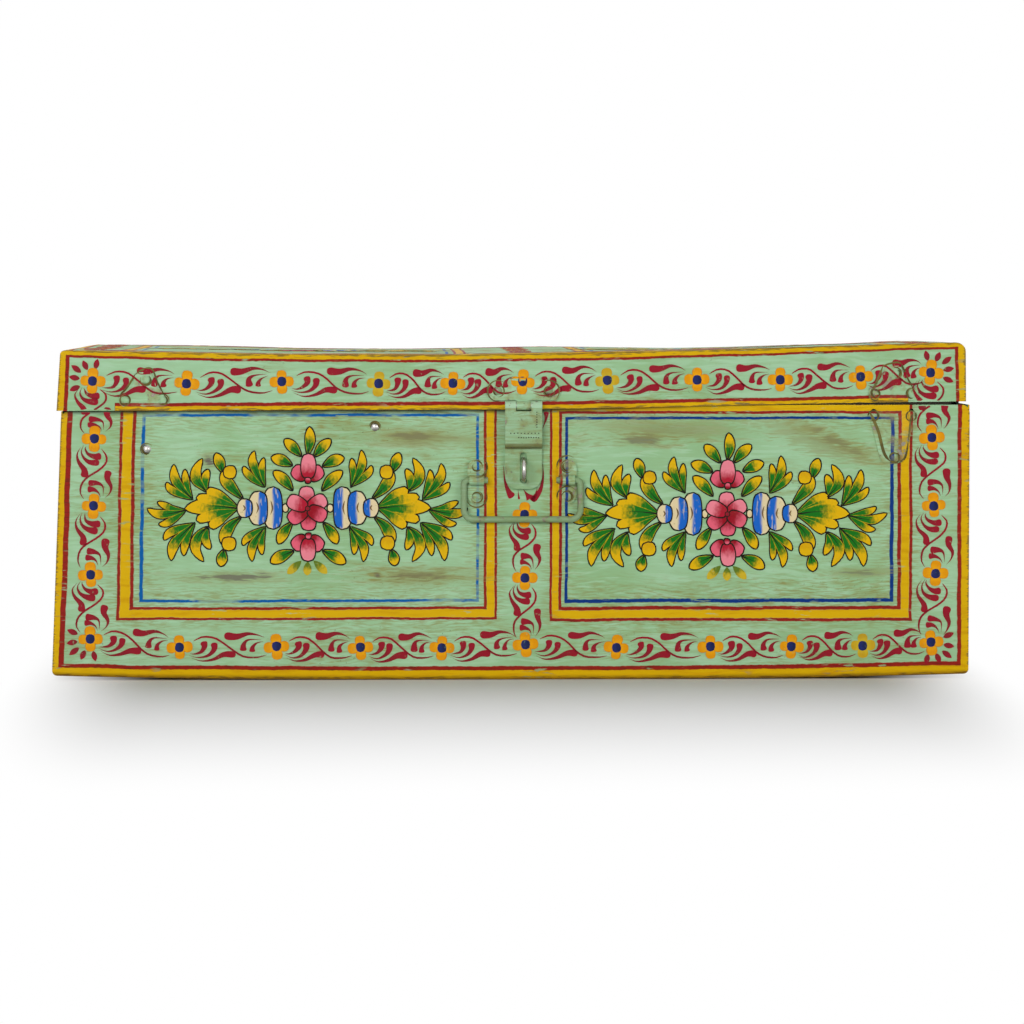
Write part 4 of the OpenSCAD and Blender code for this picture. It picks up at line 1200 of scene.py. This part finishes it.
def brushed(name, start, end, bounds=(0.3, 0.7), edge=None, worn=0.35, grime=0.12, ragged=0.7):
    """Paint of a dab, from one colour at its start to another at its end. Brush streaks make the
    change ragged, and a third colour may line its sides."""
    paint = new_paint(name)
    place = paint.place()
    along, across = paint.on_dab()
    streak = paint.noise(paint.stretch(place, (700, 700, 500)), 1, 3)
    patch = paint.noise(place, 160, 3)
    tone = paint.mix(start, end, paint.ramp(along + (streak - 0.5) * ragged, *bounds))
    if edge:
        rim = (across - 0.5).math("ABSOLUTE", across - 0.5)
        tone = paint.mix(tone, edge, paint.ramp(rim + (streak - 0.5) * 0.2, 0.37, 0.55))
    bare = paint.ramp(streak, 0.6, 0.7) * paint.ramp(patch, 0.48, 0.66) * worn
    tone = paint.mix(tone, MINT_DEEP, bare)
    tone = paint.mix(tone, DIRT, paint.ramp(patch, 0.5, 0.8) * grime)
    paint.set(Base_Color=tone, Roughness=0.5, Normal=paint.bump(streak, 0.3, 0.15 * MM))
    return paint.material


def banded_bud():
    """Cream bud that is blue beyond a bowed and streaky line."""
    paint = new_paint("bud_bands")
    place = paint.place()
    along, across = paint.on_dab()
    streak = paint.noise(place, 600, 3)
    bow = along - 0.5
    dry = paint.noise(paint.stretch(place, (900, 900, 160)), 1, 3)
    side = across + bow * bow * 0.9 + (dry - 0.5) * 0.2
    blue = paint.ramp(side, 0.46, 0.66) * (1 - paint.ramp(dry, 0.58, 0.68) * 0.5)
    tone = paint.mix(CREAM, BUD_BLUE, blue)
    tone = paint.mix(tone, WASH, paint.ramp(streak, 0.62, 0.75) * 0.4)
    paint.set(Base_Color=tone, Roughness=0.5, Normal=paint.bump(streak, 0.3, 0.15 * MM))
    return paint.material


LEAF_GREEN, LEAF_YELLOW = colour(20, 112, 22), colour(226, 180, 4)
brush_paints = {
    "scroll": brushed("scroll_red", colour(150, 22, 40), colour(134, 30, 40), worn=0.5),
    "petal_orange": brushed("petal_orange", colour(236, 164, 6), colour(228, 150, 4),
                            edge=colour(206, 116, 4)),
    "petal_pale": brushed("petal_pale", colour(206, 176, 40), colour(200, 160, 30)),
    "flower_eye": brushed("flower_eye", colour(28, 42, 104), colour(24, 34, 80), worn=0.25),
    "leaf": brushed("leaf", LEAF_GREEN, LEAF_YELLOW, (0.42, 0.76), LEAF_YELLOW, 0.1, 0.05, 0.45),
    "leaf_tip": brushed("leaf_tip", LEAF_YELLOW, colour(216, 166, 4), worn=0.1, grime=0.05),
    "leaf_faded": brushed("leaf_faded", colour(96, 120, 34), colour(206, 176, 40), worn=0.8),
    "pink": brushed("blossom_pink", colour(150, 10, 30), colour(228, 98, 120), (0.25, 0.75),
                    worn=0.1, ragged=0.4),
    "pink_light": brushed("blossom_light", colour(176, 24, 48), colour(236, 134, 148), (0.2, 0.65),
                          worn=0.1, ragged=0.4),
    "cream": brushed("cream", colour(230, 208, 156), colour(228, 212, 170), worn=0.1),
    "outline": brushed("outline", colour(22, 18, 12), colour(26, 22, 14), worn=0.15, grime=0),
    "grime": brushed("dirt_line", colour(116, 108, 58), colour(92, 84, 46), worn=0.8, grime=0.5),
    "bud_line": brushed("bud_line", colour(120, 92, 50), colour(104, 78, 44), worn=0.3, grime=0),
    "stamp": brushed("stamped_pit_shade", colour(62, 62, 44), colour(70, 70, 50), worn=0.6, grime=0),
    "bud": banded_bud(),
}
for (face, tint), dabs in painting.items():
    piece = lay_paint(face, tint, dabs, brush_paints[tint])
    print(piece.name, len(dabs), "dabs,", len(piece.data.polygons), "faces")

# %% [markdown]
# The trunk stands on a plain pale floor. Near the trunk the floor takes the soft shadow that the lamps
# cast, and further out it turns to pure white, only for the camera and for reflections, so that it adds
# no light. This fade from grey to white is a painted shadow: the floor stays grey up to a distance from
# the middle, a rate says how fast it then turns white, and so the fade gives the shadow its soft rounded
# outline.

# %% Floor and light
def white_where_seen(paint):
    """1 for the camera's own rays and for reflections and refractions of them."""
    seen = paint.node("ShaderNodeLightPath", {}, {}, "Is Camera Ray")
    for ray in ("Is Glossy Ray", "Is Transmission Ray"):
        seen = seen.most(paint.node("ShaderNodeLightPath", {}, {}, ray))
    return seen


bpy.ops.mesh.primitive_plane_add(size=30, location=(0, 0, -0.0002))
floor = bpy.context.object
floor.name = "floor"
paint = Paint(bpy.data.materials.new("pale_floor"))
x, y, _ = paint.parts(paint.place())
GREY_X, GREY_Y = 0.175, 0.13
RATE_X, RATE_Y = 12.5, 1.9
# Painted shadow: grey near the trunk fading to white further out, which gives the shadow its outline
beside = (x.math("ABSOLUTE", x) - GREY_X).most(0) * RATE_X
before = (y.math("ABSOLUTE", y) - GREY_Y).most(0) * RATE_Y
square = beside * beside + before * before
outside = paint.ramp(square.math("SQRT", square), 0, 1)
paint.set(Base_Color=(0.72, 0.72, 0.72, 1), Roughness=0.9)
glow = paint.node("ShaderNodeEmission", {}, {"Color": (1, 1, 1, 1), "Strength": 1.0})
blend = paint.node("ShaderNodeMixShader", {}, {0: outside * white_where_seen(paint),
                                               1: Value(paint, paint.shader.outputs[0]), 2: glow})
paint.tree.links.new(blend.socket, paint.tree.nodes["Material Output"].inputs["Surface"])
dress(floor, paint.material)

world = bpy.data.worlds.new("studio")
bpy.context.scene.world = world
air = Paint(world)
seen = white_where_seen(air)
backdrop = world.node_tree.nodes["Background"]
backdrop.inputs["Color"].default_value = (1, 1, 1, 1)
air.fill(backdrop.inputs["Strength"], seen * 0.8 + 0.2)


def lamp(name, place, aim, size, power):
    """A soft square lamp."""
    bpy.ops.object.light_add(type="AREA", location=place)
    made = bpy.context.object
    made.name = name
    made.data.shape = "RECTANGLE"
    made.data.size, made.data.size_y = size
    made.data.energy = power
    made.rotation_euler = (Vector(aim) - Vector(place)).to_track_quat("-Z", "Y").to_euler()


lamp("front_lamp", (-0.9, -2.6, 0.9), (0, -0.1, 0.1), (1.6, 1.0), 36)
lamp("right_lamp", (1.6, -2.0, 0.7), (0, -0.1, 0.1), (1.0, 1.0), 13)
lamp("top_lamp", (0, 0.7, 1.6), (0, -0.1, 0.1), (1.8, 1.4), 13)

# %% [markdown]
# The photograph looks at the front almost straight on, from a little left and above, through a
# long lens. The point where lines that run back would meet gives the camera's place.

# %% Camera
CAMERA_PLACE = (-60 * MM, FRONT_Y - 2200 * MM, 189 * MM)
CAMERA_AIM = (0.25 * MM, FRONT_Y, 84.6 * MM)
bpy.ops.object.camera_add(location=CAMERA_PLACE)
camera = bpy.context.object
camera.data.sensor_width = 36
camera.data.lens = 153.5
camera.data.clip_start = 0.05
camera.data.clip_end = 60
camera.rotation_euler = (Vector(CAMERA_AIM) - Vector(CAMERA_PLACE)).to_track_quat("-Z", "Y").to_euler()
bpy.context.scene.camera = camera
bpy.context.scene.view_settings.view_transform = "Standard"
